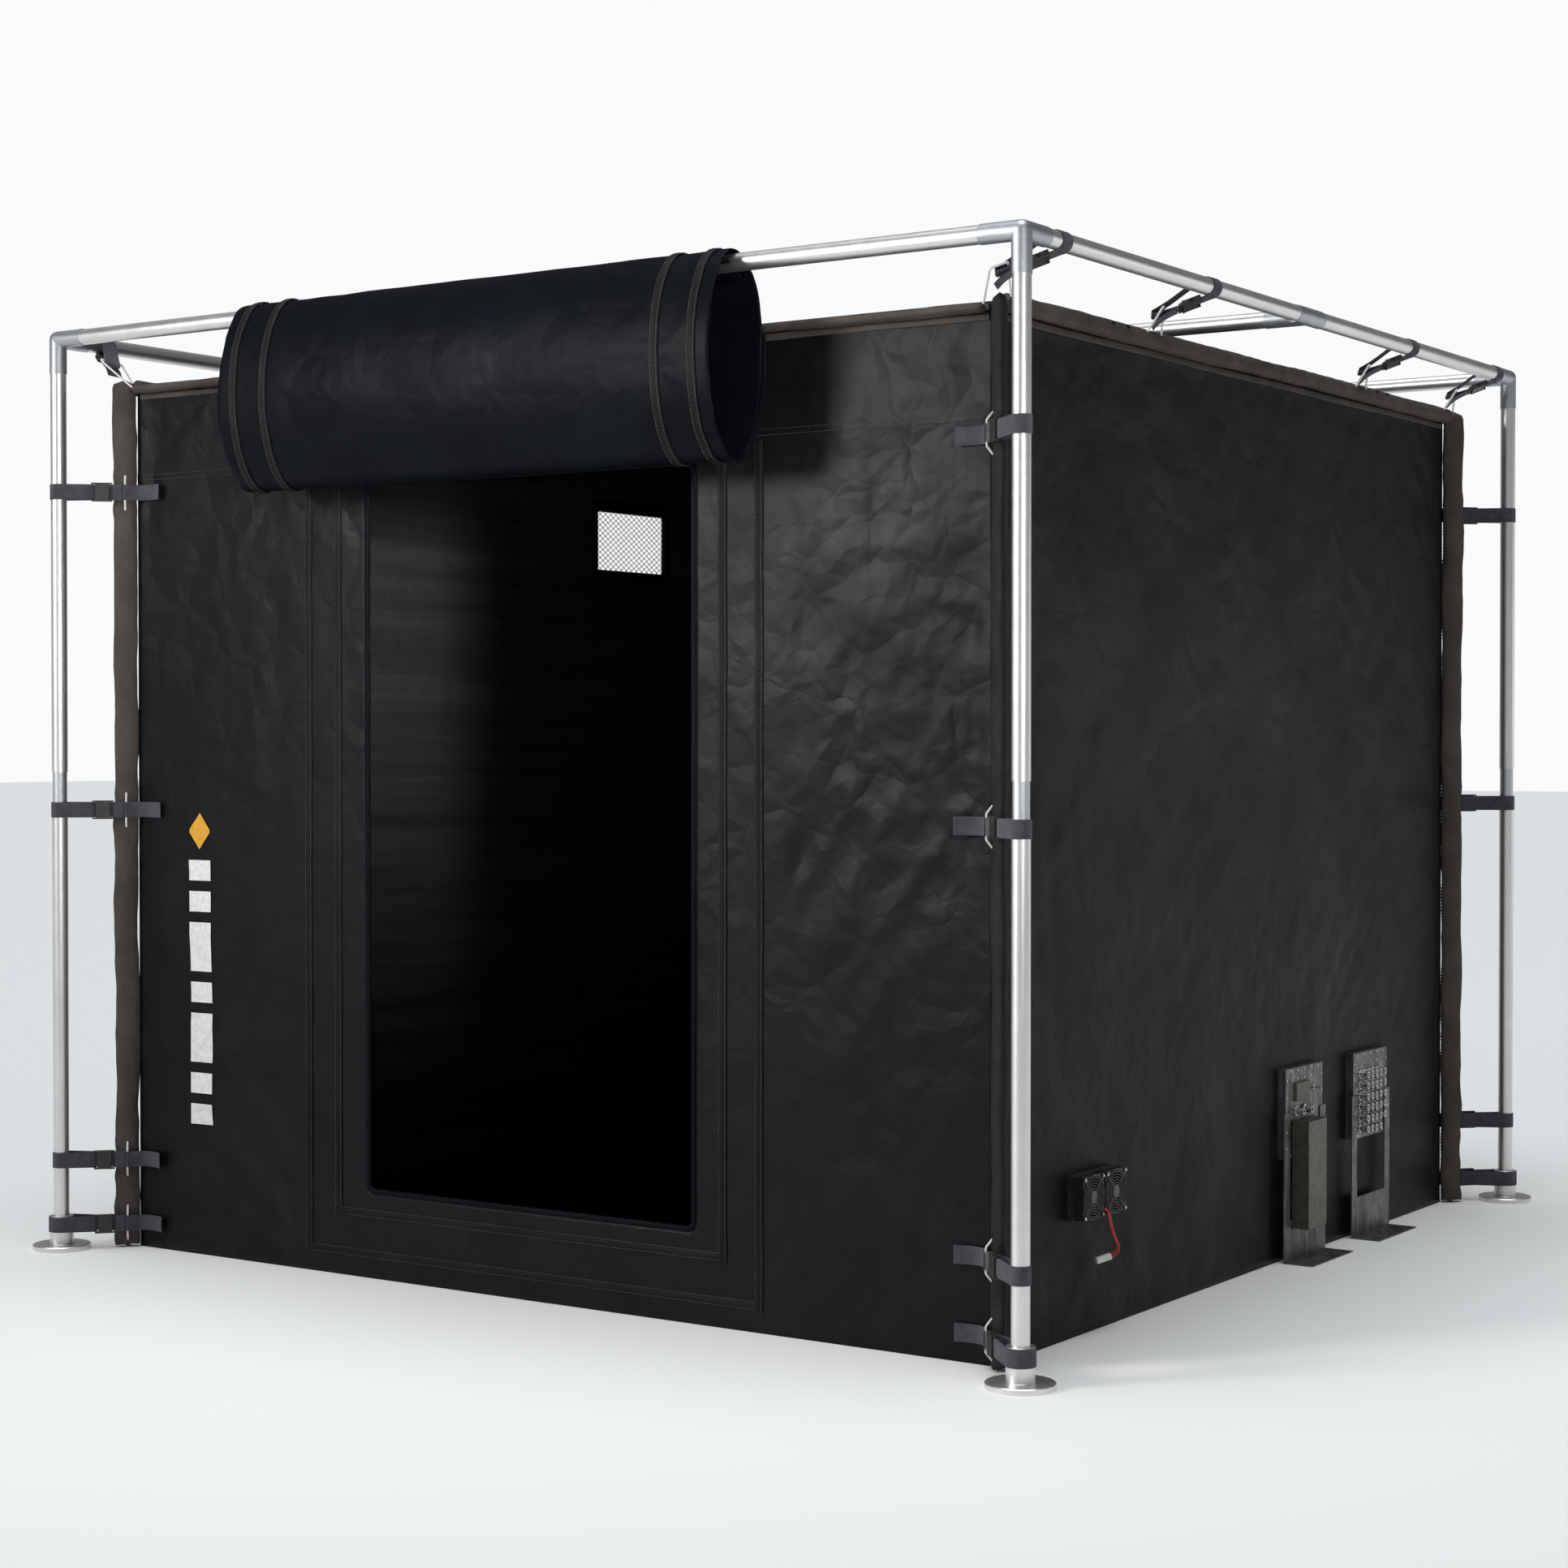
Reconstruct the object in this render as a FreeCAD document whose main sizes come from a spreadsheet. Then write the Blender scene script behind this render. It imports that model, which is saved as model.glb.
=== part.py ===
import FreeCAD, Part
import math
import os
import sys

import Sketcher
from FreeCAD import Placement, Rotation, Vector

# A square shielding tent of conductive cloth, strapped inside a frame of aluminium tube.
# Millimetres. The origin is the middle of the tent floor's underside, +Z is up and the doorway faces -Y.

DIMENSIONS = {
    # tube frame: four posts at the corners of a square, rails and a cross tube at one height
    "post_offset": 1353,
    "rail_height": 2241,
    "tube_radius": 19.05,
    "bore_radius": 17.4,
    "spigot_radius": 17.3,
    "spigot_bore": 14.5,
    "spigot_half": 118,
    "spigot_show": 38,
    "post_joint": 1140,
    "fitting_radius": 20.6,
    "socket_radius": 19.15,
    "elbow_arm": 90,
    "elbow_drop": 84,
    "elbow_stop": 24,
    "tee_half": 70,
    "tee_branch": 100,
    "tee_stop": 4,
    "rail_seam": 0.5,
    # feet
    "disc_radius": 70,
    "disc_height": 12.6,
    "disc_bevel": 2,
    "collar_radius": 29,
    "collar_top": 82,
    "collar_round": 1,
    "socket_floor": 14,
    # tent body
    "tent_half": 1219,
    "tent_height": 2134,
    "cloth": 2,
    # doorway and its seal strips
    "door_left": 461,
    "door_right": 477,
    "door_sill": 202,
    "door_top": 1855,
    "door_round": 22,
    "inner_strip": 552,
    "inner_strip_sill": 152,
    "outer_strip": 646,
    "outer_strip_sill": 57,
    "strip_half": 11,
    "strip_depth": 3,
    "strip_top": 1890,
    "strip_round": 30,
    # edge sleeves and the rods in them
    "corner_reach": 29.5,
    "corner_thick": 15,
    "corner_top": 2146,
    "edge_reach": 17,
    "edge_thick": 20,
    "edge_drop": 4,
    "slack_thick": 11,
    "slack_drop": 14,
    "edge_half": 1215,
    "edge_gap": 0.2,
    "sleeve_wall": 2,
    "rod_radius": 6,
    # rolled door flap, an oval tube of cloth hung over the front rail
    "flap_half": 700,
    "flap_depth": 105,
    "flap_height": 225,
    "flap_wall": 12,
    "flap_y": -1366,
    "flap_z": 2051.3,
    # vent in the left wall
    "vent_front": 630,
    "vent_length": 341,
    "vent_sill": 1766,
    "vent_height": 185,
    "vent_border": 30,
    "vent_lip": 16,
    "vent_depth": 3,
    "mesh_gap": 4,
    "mesh_depth": 2,
    # fan unit on the right wall
    "fan_side": 92,
    "fan_gap": 9,
    "fan_front": -911,
    "fan_sill": 251,
    "fan_depth": 25,
    "plenum_depth": 12,
    "plenum_margin": 2,
    "fan_bore": 43.5,
    "blade_tip": 42.5,
    "blade_count": 7,
    "blade_chord": 20,
    "blade_thick": 1.6,
    "blade_pitch": 38,
    "hub_radius": 18,
    "hub_length": 18,
    "stator_radius": 17,
    "stator_depth": 4,
    "strut_width": 5,
    "axle_radius": 2,
    "axle_bore": 2.05,
    "axle_length": 4,
    "guard_gap": 0.2,
    "guard_wire": 1.6,
    "guard_disc": 14,
    "guard_pitch": 5.6,
    "guard_rings": 6,
    "guard_reach": 54,
    "guard_eye": 4.6,
    "screw_inset": 5.5,
    "screw_head": 3.4,
    "screw_height": 2.2,
    "screw_shank": 1.6,
    "screw_length": 8,
    # fan leads and their connector
    "lead_radius": 2.1,
    "plug_length": 34,
    "plug_side": 13,
    "plug_heading": 233.13,
    "plug_tilt": 14,
    # connector panels on the right wall
    "panel_width": 219,
    "panel_height": 217,
    "panel_sill": 248,
    "panel_depth": 21,
    "panel_skin": 3,
    "power_middle": 260,
    "signal_middle": 674,
    "cable_hole": 90,
    "backing_depth": 3,
    "panel_screw_inset": 7,
    "panel_screw_pitch": 40.6,
    "panel_screw_radius": 2.6,
    "panel_screw_height": 1.6,
    # floor stands
    "stand_half": 123,
    "stand_height": 359,
    "stand_sheet": 3,
    "stand_foot": 77,
    "stand_web": 101,
    "stand_upright": 33,
    "stand_screw_low": 274,
    "stand_screw_high": 314,
    "stand_screw_inset": 15,
    # mains filter, outlet cover and fittings
    "filter_front": 200,
    "filter_width": 107,
    "filter_sill": 76,
    "filter_height": 262,
    "filter_depth": 36,
    "filter_standoff": 3.3,
    "flange_wing": 17,
    "flange_skin": 2,
    "boss_radius": 6,
    "outlet_front": 199,
    "outlet_width": 83,
    "outlet_sill": 384,
    "outlet_height": 45,
    "outlet_depth": 8,
    "outlet_bevel": 2,
    "fitting_nut": 12,
    "fitting_nut_depth": 5,
    "fitting_pipe": 8,
    "fitting_length": 24,
    "fitting_level": 361,
    # coax jacks
    "jack_columns": 5,
    "jack_rows": 6,
    "jack_pitch": 27.5,
    "jack_front": 605,
    "jack_level": 410,
    "jack_nut": 10,
    "jack_nut_depth": 3,
    "jack_radius": 8,
    "jack_bore": 5.6,
    "jack_length": 25,
    "jack_pin": 1.5,
    # straps: webbing, side-release buckle and shock cord
    "web_half": 19,
    "web_thick": 2,
    "web_gap": 0.3,
    "buckle_half": 23,
    "buckle_thick": 6.5,
    "buckle_wall": 3,
    "socket_length": 36,
    "socket_slot": 8,
    "socket_bar": 2,
    "socket_bar_half": 2,
    "pocket_start": 12,
    "pocket_thick": 4.2,
    "latch_start": 18,
    "latch_length": 10,
    "prong_length": 22,
    "prong_inner": 11,
    "prong_outer": 19.4,
    "prong_thick": 3.5,
    "guide_half": 3,
    "plug_base": 6,
    "plug_frame": 14,
    "buckle_gap": 0.3,
    "post_buckle": 80,
    "post_anchor_out": 26,
    "bight_radius": 5.2,
    "cord_radius": 2.5,
    "cord_bend": 26,
    "cord_turn": 8,
    "post_cord_spread": 42,
    "post_tail": 66,
    "rail_buckle": 30,
    "rail_reach": 112,
    "rail_drop": 24.5,
    "rail_tilt": 30.5,
    "rail_cord_spread": 33,
    "rail_fold": 136,
    "rail_fold_rise": 12,
    "fold_radius": 4,
    "rail_tail": 64,
    "tail_swing": 10.5,
}

doc = FreeCAD.newDocument("shielding_tent")
sheet = doc.addObject("Spreadsheet::Sheet", "dims")
for row, (alias, number) in enumerate(DIMENSIONS.items(), start=1):
    sheet.set("A%d" % row, alias)
    sheet.set("B%d" % row, str(number))
    sheet.setAlias("B%d" % row, alias)
doc.recompute()

# heights of the four straps on each post, and places of the four on each side rail
POST_STRAP_HEIGHTS = (62, 220, 1085, 1867)
RAIL_STRAP_PLACES = (-1201, -517, 635, 1240)
CORNERS = {"front_left": (-1, -1), "front_right": (1, -1), "rear_right": (1, 1), "rear_left": (-1, 1)}
TURN = {"x": Rotation(Vector(0, 0, 1), Vector(1, 0, 0)),
        "y": Rotation(Vector(0, 0, 1), Vector(0, 1, 0)),
        "z": Rotation()}
nodes = {}


# ---------------------------------------------------------------- sizes as words

def size(alias):
    """Number in the sheet's cell."""
    return float(sheet.get(alias))


def total(words):
    """Sum of the named sizes, each with an optional leading minus; "0" is nothing."""
    amount = 0.0
    for word in words.split():
        if word == "0":
            continue
        if word.startswith("-"):
            amount -= size(word[1:])
        else:
            amount += size(word)
    return amount


def formula(words):
    """The same sum as an expression on the sheet."""
    text = "0"
    for word in words.split():
        if word == "0":
            continue
        if word.startswith("-"):
            text += " - dims." + word[1:]
        else:
            text += " + dims." + word
    return text


def bind(thing, prop, words):
    thing.setExpression(prop, formula(words))


def bind_base(thing, corner):
    for axis, words in zip("xyz", corner):
        bind(thing, "Placement.Base." + axis, words)


# ---------------------------------------------------------------- building blocks

def box(name, sides, corner=("0", "0", "0")):
    block = doc.addObject("Part::Box", name)
    for prop, words in zip(("Length", "Width", "Height"), sides):
        bind(block, prop, words)
    bind_base(block, corner)
    return block


def rod(name, radius, length, base=("0", "0", "0"), along="z"):
    bar = doc.addObject("Part::Cylinder", name)
    bind(bar, "Radius", radius)
    bind(bar, "Height", length)
    bar.Placement = Placement(Vector(), TURN[along])
    bind_base(bar, base)
    return bar


def cut(name, base, tool):
    result = doc.addObject("Part::Cut", name)
    result.Base = base
    result.Tool = tool
    return result


def fuse(name, pieces):
    result = doc.addObject("Part::MultiFuse", name)
    result.Shapes = pieces
    result.Refine = True
    return result


def together(name, pieces):
    result = doc.addObject("Part::Compound", name)
    result.Links = pieces
    return result


def tube(name, radius, bore, length, base=("0", "0", "0"), along="z"):
    return cut(name, rod(name + "_outside", radius, length, base, along),
               rod(name + "_bore", bore, length, base, along))


def oval(name, reach, thick, length):
    """Solid bar with an oval section, reach along X and thick along Y."""
    curve = doc.addObject("Part::Ellipse", name + "_curve")
    longer, shorter = (reach, thick) if total(reach) > total(thick) else (thick, reach)
    bind(curve, "MajorRadius", longer)
    bind(curve, "MinorRadius", shorter)
    if longer != reach:
        curve.Placement = Placement(Vector(), Rotation(Vector(0, 0, 1), 90))
    bar = doc.addObject("Part::Extrusion", name)
    bar.Base = curve
    bar.DirMode = "Custom"
    bar.Dir = Vector(0, 0, 1)
    bind(bar, "LengthFwd", length)
    bar.Solid = True
    return bar


def oval_tube(name, reach, thick, wall, length):
    outside = oval(name + "_outside", reach, thick, length)
    inside = oval(name + "_inside", "%s -%s" % (reach, wall), "%s -%s" % (thick, wall), length)
    return cut(name, outside, inside)


def rounded(name, base, radius, chosen):
    """Fillet on the edges of base that the test picks."""
    doc.recompute()
    edges = []
    for index, edge in enumerate(base.Shape.Edges, start=1):
        if chosen(edge):
            edges.append((index, total(radius), total(radius)))
    result = doc.addObject("Part::Fillet", name)
    result.Base = base
    result.Edges = edges
    return result


def along_y(edge):
    return abs(edge.tangentAt(edge.FirstParameter).y) > 0.99


def along_x(edge):
    return abs(edge.tangentAt(edge.FirstParameter).x) > 0.99


def node(label, thing):
    """Registers the object that becomes the part's file of this name."""
    thing.Label = label
    nodes[label] = thing
    return thing


def copy_of(pattern, placement):
    shape = pattern.Shape.copy()
    shape.Placement = placement.multiply(shape.Placement)
    return shape


def copies(label, shapes):
    """Node made of separate equal solids, placed where the list puts them."""
    group = doc.addObject("Part::Feature", label)
    group.Shape = Part.makeCompound(shapes)
    return node(label, group)


def origin_plane(body, role):
    for feature in body.Origin.OriginFeatures:
        if feature.Role == role:
            return feature
    raise ValueError(role)


def outline(body, name, role, corners):
    """Closed sketch of straight sides; both coordinates of each corner are bound to the sheet."""
    sketch = body.newObject("Sketcher::SketchObject", name)
    sketch.AttachmentSupport = [(origin_plane(body, role), "")]
    sketch.MapMode = "FlatFace"
    points = [Vector(total(across), total(up), 0) for across, up in corners]
    count = len(points)
    for index in range(count):
        sketch.addGeometry(Part.LineSegment(points[index], points[(index + 1) % count]), False)
    for index in range(count):
        sketch.addConstraint(Sketcher.Constraint("Coincident", index, 2, (index + 1) % count, 1))
    for index, (across, up) in enumerate(corners):
        spans = (("DistanceX", across, points[index].x), ("DistanceY", up, points[index].y))
        for kind, words, value in spans:
            place = sketch.addConstraint(Sketcher.Constraint(kind, -1, 1, index, 1, value))
            if words != "0":
                sketch.setExpression("Constraints[%d]" % place, formula(words))
    return sketch


def body_with(label):
    return doc.addObject("PartDesign::Body", label)


def pad(body, name, sketch, length, midplane=False):
    feature = body.newObject("PartDesign::Pad", name)
    feature.Profile = sketch
    feature.Midplane = midplane
    bind(feature, "Length", length)
    return feature


# ---------------------------------------------------------------- tube frame

def foot(label, side_x, side_y):
    """Round base disc with a bevelled rim and a collar that the post stands in."""
    body = body_with(label)
    profile = outline(body, label + "_profile", "XZ_Plane", [
        ("0", "0"), ("disc_radius", "0"), ("disc_radius", "disc_height -disc_bevel"),
        ("disc_radius -disc_bevel", "disc_height"), ("collar_radius", "disc_height"),
        ("collar_radius", "collar_top"), ("socket_radius", "collar_top"),
        ("socket_radius", "socket_floor"), ("0", "socket_floor")])
    turned = body.newObject("PartDesign::Revolution", label + "_turned")
    turned.Profile = profile
    turned.ReferenceAxis = (profile, ["V_Axis"])
    turned.Angle = 360
    doc.recompute()
    rims = [("Edge%d" % index) for index, edge in enumerate(turned.Shape.Edges, start=1)
            if edge.Length > 1 and abs(edge.CenterOfMass.z - size("collar_top")) < 0.01
            or abs(edge.CenterOfMass.z - size("disc_height")) < 0.01
            and abs(edge.Length - 2 * math.pi * size("collar_radius")) < 1]
    smooth = body.newObject("PartDesign::Fillet", label + "_smooth")
    smooth.Base = (turned, rims)
    bind(smooth, "Radius", "collar_round")
    body.Tip = smooth
    out = size("post_offset")
    body.Placement = Placement(Vector(side_x * out, side_y * out, 0), Rotation())
    return node(label, body)


def place_at(thing, x, y, z, turn=None):
    thing.Placement = Placement(Vector(x, y, z), turn or Rotation())
    return thing


def posts_and_feet():
    post = size("post_offset")
    for corner, (side_x, side_y) in CORNERS.items():
        foot("foot_" + corner, side_x, side_y)
        lower = tube("lower_post_" + corner, "tube_radius", "bore_radius",
                     "post_joint -spigot_show -socket_floor")
        place_at(lower, side_x * post, side_y * post, size("socket_floor"))
        node("lower_post_" + corner, lower)
        upper = tube("upper_post_" + corner, "tube_radius", "bore_radius",
                     "rail_height -elbow_stop -post_joint -spigot_show")
        place_at(upper, side_x * post, side_y * post, total("post_joint spigot_show"))
        node("upper_post_" + corner, upper)


def spigots():
    """Hidden joiners: half in each tube, with a short bare stretch between the tube ends."""
    pattern = tube("spigot_pattern", "spigot_radius", "spigot_bore", "spigot_half spigot_half")
    doc.recompute()
    post = size("post_offset")
    half = size("spigot_half")
    rail = size("rail_height")
    level = size("post_joint") - half
    shapes = [copy_of(pattern, Placement(Vector(side_x * post, side_y * post, level), TURN["z"]))
              for side_x, side_y in CORNERS.values()]
    for offset in (-post, 0, post):
        shapes.append(copy_of(pattern, Placement(Vector(-half, offset, rail), TURN["x"])))
    copies("tube_spigots", shapes)


def elbow_pattern():
    """Three-way fitting: arms along +X and +Y and a drop along -Z, bored for the tubes."""
    arms = [rod("elbow_arm_x", "fitting_radius", "elbow_arm", along="x"),
            rod("elbow_arm_y", "fitting_radius", "elbow_arm", along="y"),
            rod("elbow_drop", "fitting_radius", "elbow_drop", ("0", "0", "-elbow_drop"))]
    ball = doc.addObject("Part::Sphere", "elbow_ball")
    bind(ball, "Radius", "fitting_radius")
    solid = fuse("elbow_solid", arms + [ball])
    bores = [rod("elbow_bore_x", "socket_radius", "elbow_arm -elbow_stop", ("elbow_stop", "0", "0"), "x"),
             rod("elbow_bore_y", "socket_radius", "elbow_arm -elbow_stop", ("0", "elbow_stop", "0"), "y"),
             rod("elbow_bore_z", "socket_radius", "elbow_drop -elbow_stop", ("0", "0", "-elbow_drop"))]
    return cut("elbow_pattern", solid, fuse("elbow_bores", bores))


def elbows():
    pattern = elbow_pattern()
    doc.recompute()
    post = size("post_offset")
    turns = {"front_left": 0, "front_right": 90, "rear_right": 180, "rear_left": 270}
    shapes = []
    for corner, (side_x, side_y) in CORNERS.items():
        place = Vector(side_x * post, side_y * post, size("rail_height"))
        shapes.append(copy_of(pattern, Placement(place, Rotation(Vector(0, 0, 1), turns[corner]))))
    copies("corner_elbows", shapes)


def half_rails(label, along, across):
    """Two tubes in line, from the elbows to the fitting or spigot in the middle."""
    inner = "tee_stop" if along == "y" else "rail_seam"
    length = "post_offset -elbow_stop -" + inner
    halves = []
    for end, start in (("low", "-post_offset elbow_stop"), ("high", inner)):
        base = (start, across, "rail_height") if along == "x" else (across, start, "rail_height")
        halves.append(tube("%s_%s" % (label, end), "tube_radius", "bore_radius", length, base, along))
    node(label, together(label, halves))


def rails():
    half_rails("front_rail", "x", "-post_offset")
    half_rails("rear_rail", "x", "post_offset")
    half_rails("left_rail", "y", "-post_offset")
    half_rails("right_rail", "y", "post_offset")
    half_rails("cross_tube", "x", "0")


def tee(label, side_x):
    """Sleeve on the middle of a side rail with a branch for the cross tube."""
    run = rod(label + "_run", "fitting_radius", "tee_half tee_half", ("0", "-tee_half", "0"), "y")
    branch = rod(label + "_branch", "fitting_radius", "tee_branch", along="x")
    solid = fuse(label + "_solid", [run, branch])
    bores = [rod(label + "_bore_low", "socket_radius", "tee_half -tee_stop", ("0", "-tee_half", "0"), "y"),
             rod(label + "_bore_high", "socket_radius", "tee_half -tee_stop", ("0", "tee_stop", "0"), "y"),
             rod(label + "_bore_branch", "socket_radius", "tee_branch -elbow_stop",
                 ("elbow_stop", "0", "0"), "x")]
    fitting = cut(label, solid, fuse(label + "_bores", bores))
    turn = Rotation(Vector(0, 0, 1), 180 if side_x > 0 else 0)
    return place_at(fitting, side_x * size("post_offset"), 0, size("rail_height"), turn)


# ---------------------------------------------------------------- tent body

def cloth_panels():
    inside = "tent_half tent_half -cloth -cloth"
    low = "-tent_half cloth"
    node("floor_panel", box("floor_panel", (inside, inside, "cloth"), (low, low, "0")))
    node("roof_panel", box("roof_panel", (inside, inside, "cloth"), (low, low, "tent_height -cloth")))
    wide = (inside, "cloth", "tent_height")
    deep = ("cloth", "tent_half tent_half", "tent_height")
    node("rear_wall", box("rear_wall", wide, (low, "tent_half -cloth", "0")))
    front = box("front_sheet", wide, (low, "-tent_half", "0"))
    gap = box("doorway_block", ("door_left door_right", "cloth cloth cloth", "door_top -door_sill"),
              ("-door_left", "-tent_half -cloth", "door_sill"))
    doorway = rounded("doorway", gap, "door_round", along_y)
    node("front_wall", cut("front_wall", front, doorway))
    left = box("left_sheet", deep, ("-tent_half", "-tent_half", "0"))
    vent = box("vent_hole", ("cloth cloth cloth", "vent_length", "vent_height"),
               ("-tent_half -cloth", "vent_front", "vent_sill"))
    node("left_wall", cut("left_wall", left, vent))
    right = box("right_sheet", deep, ("tent_half -cloth", "-tent_half", "0"))
    holes = []
    for name, middle in (("power", "power_middle"), ("signal", "signal_middle")):
        opening = ("cloth cloth cloth", "cable_hole cable_hole", "cable_hole")
        low_corner = ("tent_half -cloth -cloth", middle + " -cable_hole",
                      "panel_sill vent_border vent_border")
        holes.append(box(name + "_cable_hole", opening, low_corner))
    for number in range(2):
        low_edge = "fan_front fan_gap" + " fan_side fan_gap" * number
        holes.append(box("fan_duct_%d" % number,
                         ("cloth cloth cloth", "fan_side -fan_gap -fan_gap", "fan_side -fan_gap -fan_gap"),
                         ("tent_half -cloth -cloth", low_edge, "fan_sill fan_gap")))
    node("right_wall", cut("right_wall", right, fuse("right_holes", holes)))


def strip(name, half, sill):
    """U-shaped band on the front wall: down one side, under the sill and up the other."""
    low = "-" + half
    deep = "strip_depth strip_depth strip_depth"
    before = "-tent_half -strip_depth -strip_depth"
    outer = box(name + "_outer_block",
                (half + " " + half + " strip_half strip_half", "strip_depth",
                 "strip_top strip_round -%s strip_half" % sill),
                (low + " -strip_half", "-tent_half -strip_depth", sill + " -strip_half"))
    inner = box(name + "_inner_block",
                (half + " " + half + " -strip_half -strip_half", deep,
                 "strip_top strip_round strip_round -%s -strip_half" % sill),
                (low + " strip_half", before, sill + " strip_half"))
    band = cut(name + "_band", rounded(name + "_outer", outer, "strip_round", along_y),
               rounded(name + "_inner", inner, "strip_half", along_y))
    top = box(name + "_top_trim", ("tent_half tent_half", deep, "tent_half"),
              ("-tent_half", before, "strip_top"))
    return cut(name, band, top)


def seal_strips():
    node("door_seal_strips", together("door_seal_strips", [
        strip("inner_band", "inner_strip", "inner_strip_sill"),
        strip("outer_band", "outer_strip", "outer_strip_sill")]))


def corner_sleeve():
    """Oval tube closed at the top, its long axis along X."""
    outside = oval("corner_outside", "corner_reach", "corner_thick", "corner_top")
    inside = oval("corner_inside", "corner_reach -sleeve_wall", "corner_thick -sleeve_wall",
                  "corner_top -sleeve_wall")
    return cut("corner_sleeve_pattern", outside, inside)


def sleeves_and_rods():
    """Oval cloth tubes along the corners and top edges, each with a rod inside.

    The side sleeves are pulled up by the rail straps; the front and rear ones hang slack and flatter.
    """
    corner = corner_sleeve()
    length = "edge_half edge_half"
    patterns = [oval_tube("slack_sleeve_pattern", "slack_thick", "edge_reach", "sleeve_wall", length),
                oval_tube("edge_sleeve_pattern", "edge_thick", "edge_reach", "sleeve_wall", length)]
    drops = ("slack_drop", "edge_drop")
    upright = rod("upright_rod", "rod_radius", "tent_height -disc_height")
    level = rod("level_rod", "rod_radius", length)
    doc.recompute()
    out = size("tent_half") + size("corner_reach") * math.sqrt(0.5)
    sleeves = []
    rods = []
    for side_x, side_y in CORNERS.values():
        heading = math.degrees(math.atan2(side_y, side_x))
        place = Placement(Vector(side_x * out, side_y * out, 0), Rotation(Vector(0, 0, 1), heading))
        sleeves.append(copy_of(corner, place))
        place = Placement(Vector(side_x * out, side_y * out, size("cloth")), Rotation())
        rods.append(copy_of(upright, place))
    copies("corner_sleeves", sleeves)
    edges = []
    for quarter in range(4):
        spin = Rotation(Vector(0, 0, 1), 90 * quarter)
        lift = total("tent_height -" + drops[quarter % 2])
        start = spin.multVec(Vector(-size("edge_half"), -total("tent_half edge_reach edge_gap"), lift))
        place = Placement(start, spin.multiply(TURN["x"]))
        edges.append(copy_of(patterns[quarter % 2], place))
        rods.append(copy_of(level, place))
    copies("top_sleeves", edges)
    copies("sleeve_rods", rods)


def door_flap():
    """Rolled flap: an oval tube of cloth layers that hangs on the front rail."""
    flap = oval_tube("door_flap", "flap_height", "flap_depth", "flap_wall", "flap_half flap_half")
    place_at(flap, -size("flap_half"), size("flap_y"), size("flap_z"), TURN["x"])
    node("door_flap", flap)


def ring_frame(name, depth, corner, border):
    """Flat frame round the vent opening, border wide."""
    both = " %s %s" % (border, border)
    plate = box(name + "_plate", (depth, "vent_length" + both, "vent_height" + both),
                (corner, "vent_front -" + border, "vent_sill -" + border))
    hole = box(name + "_hole", (depth + " cloth cloth", "vent_length", "vent_height"),
               (corner + " -cloth", "vent_front", "vent_sill"))
    return cut(name, plate, hole)


def vent():
    node("vent_frame", together("vent_frame", [
        ring_frame("vent_outer_ring", "vent_depth", "-tent_half -vent_depth", "vent_border"),
        ring_frame("vent_inner_ring", "mesh_gap mesh_gap mesh_depth", "-tent_half cloth", "vent_lip")]))
    node("vent_mesh", box("vent_mesh", ("mesh_depth", "vent_length", "vent_height"),
                          ("-tent_half cloth mesh_gap", "vent_front", "vent_sill")))


# ---------------------------------------------------------------- fan unit

def free(feature):
    """Takes away the formulas that hold a feature's place, so that it can be turned and set down anywhere."""
    for axis in "xyz":
        feature.setExpression("Placement.Base." + axis, None)
    return feature


def fan_middle(number):
    """Middle of a fan's face in Y and Z."""
    across = total("fan_front") + size("fan_side") / 2 + number * total("fan_side fan_gap")
    return across, total("fan_sill") + size("fan_side") / 2


def fan_plenum():
    whole = box("plenum_block", ("plenum_depth", "fan_side fan_side fan_gap plenum_margin plenum_margin",
                                 "fan_side plenum_margin plenum_margin"),
                ("tent_half", "fan_front -plenum_margin", "fan_sill -plenum_margin"))
    bores = []
    for number in range(2):
        across, level = fan_middle(number)
        bore = rod("plenum_bore_%d" % number, "fan_bore", "plenum_depth plenum_depth", along="x")
        place_at(free(bore), size("tent_half") - size("plenum_depth") / 2, across, level, TURN["x"])
        bores.append(bore)
    doc.recompute()
    node("fan_plenum", cut("fan_plenum", whole, fuse("plenum_bores", bores)))


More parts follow.
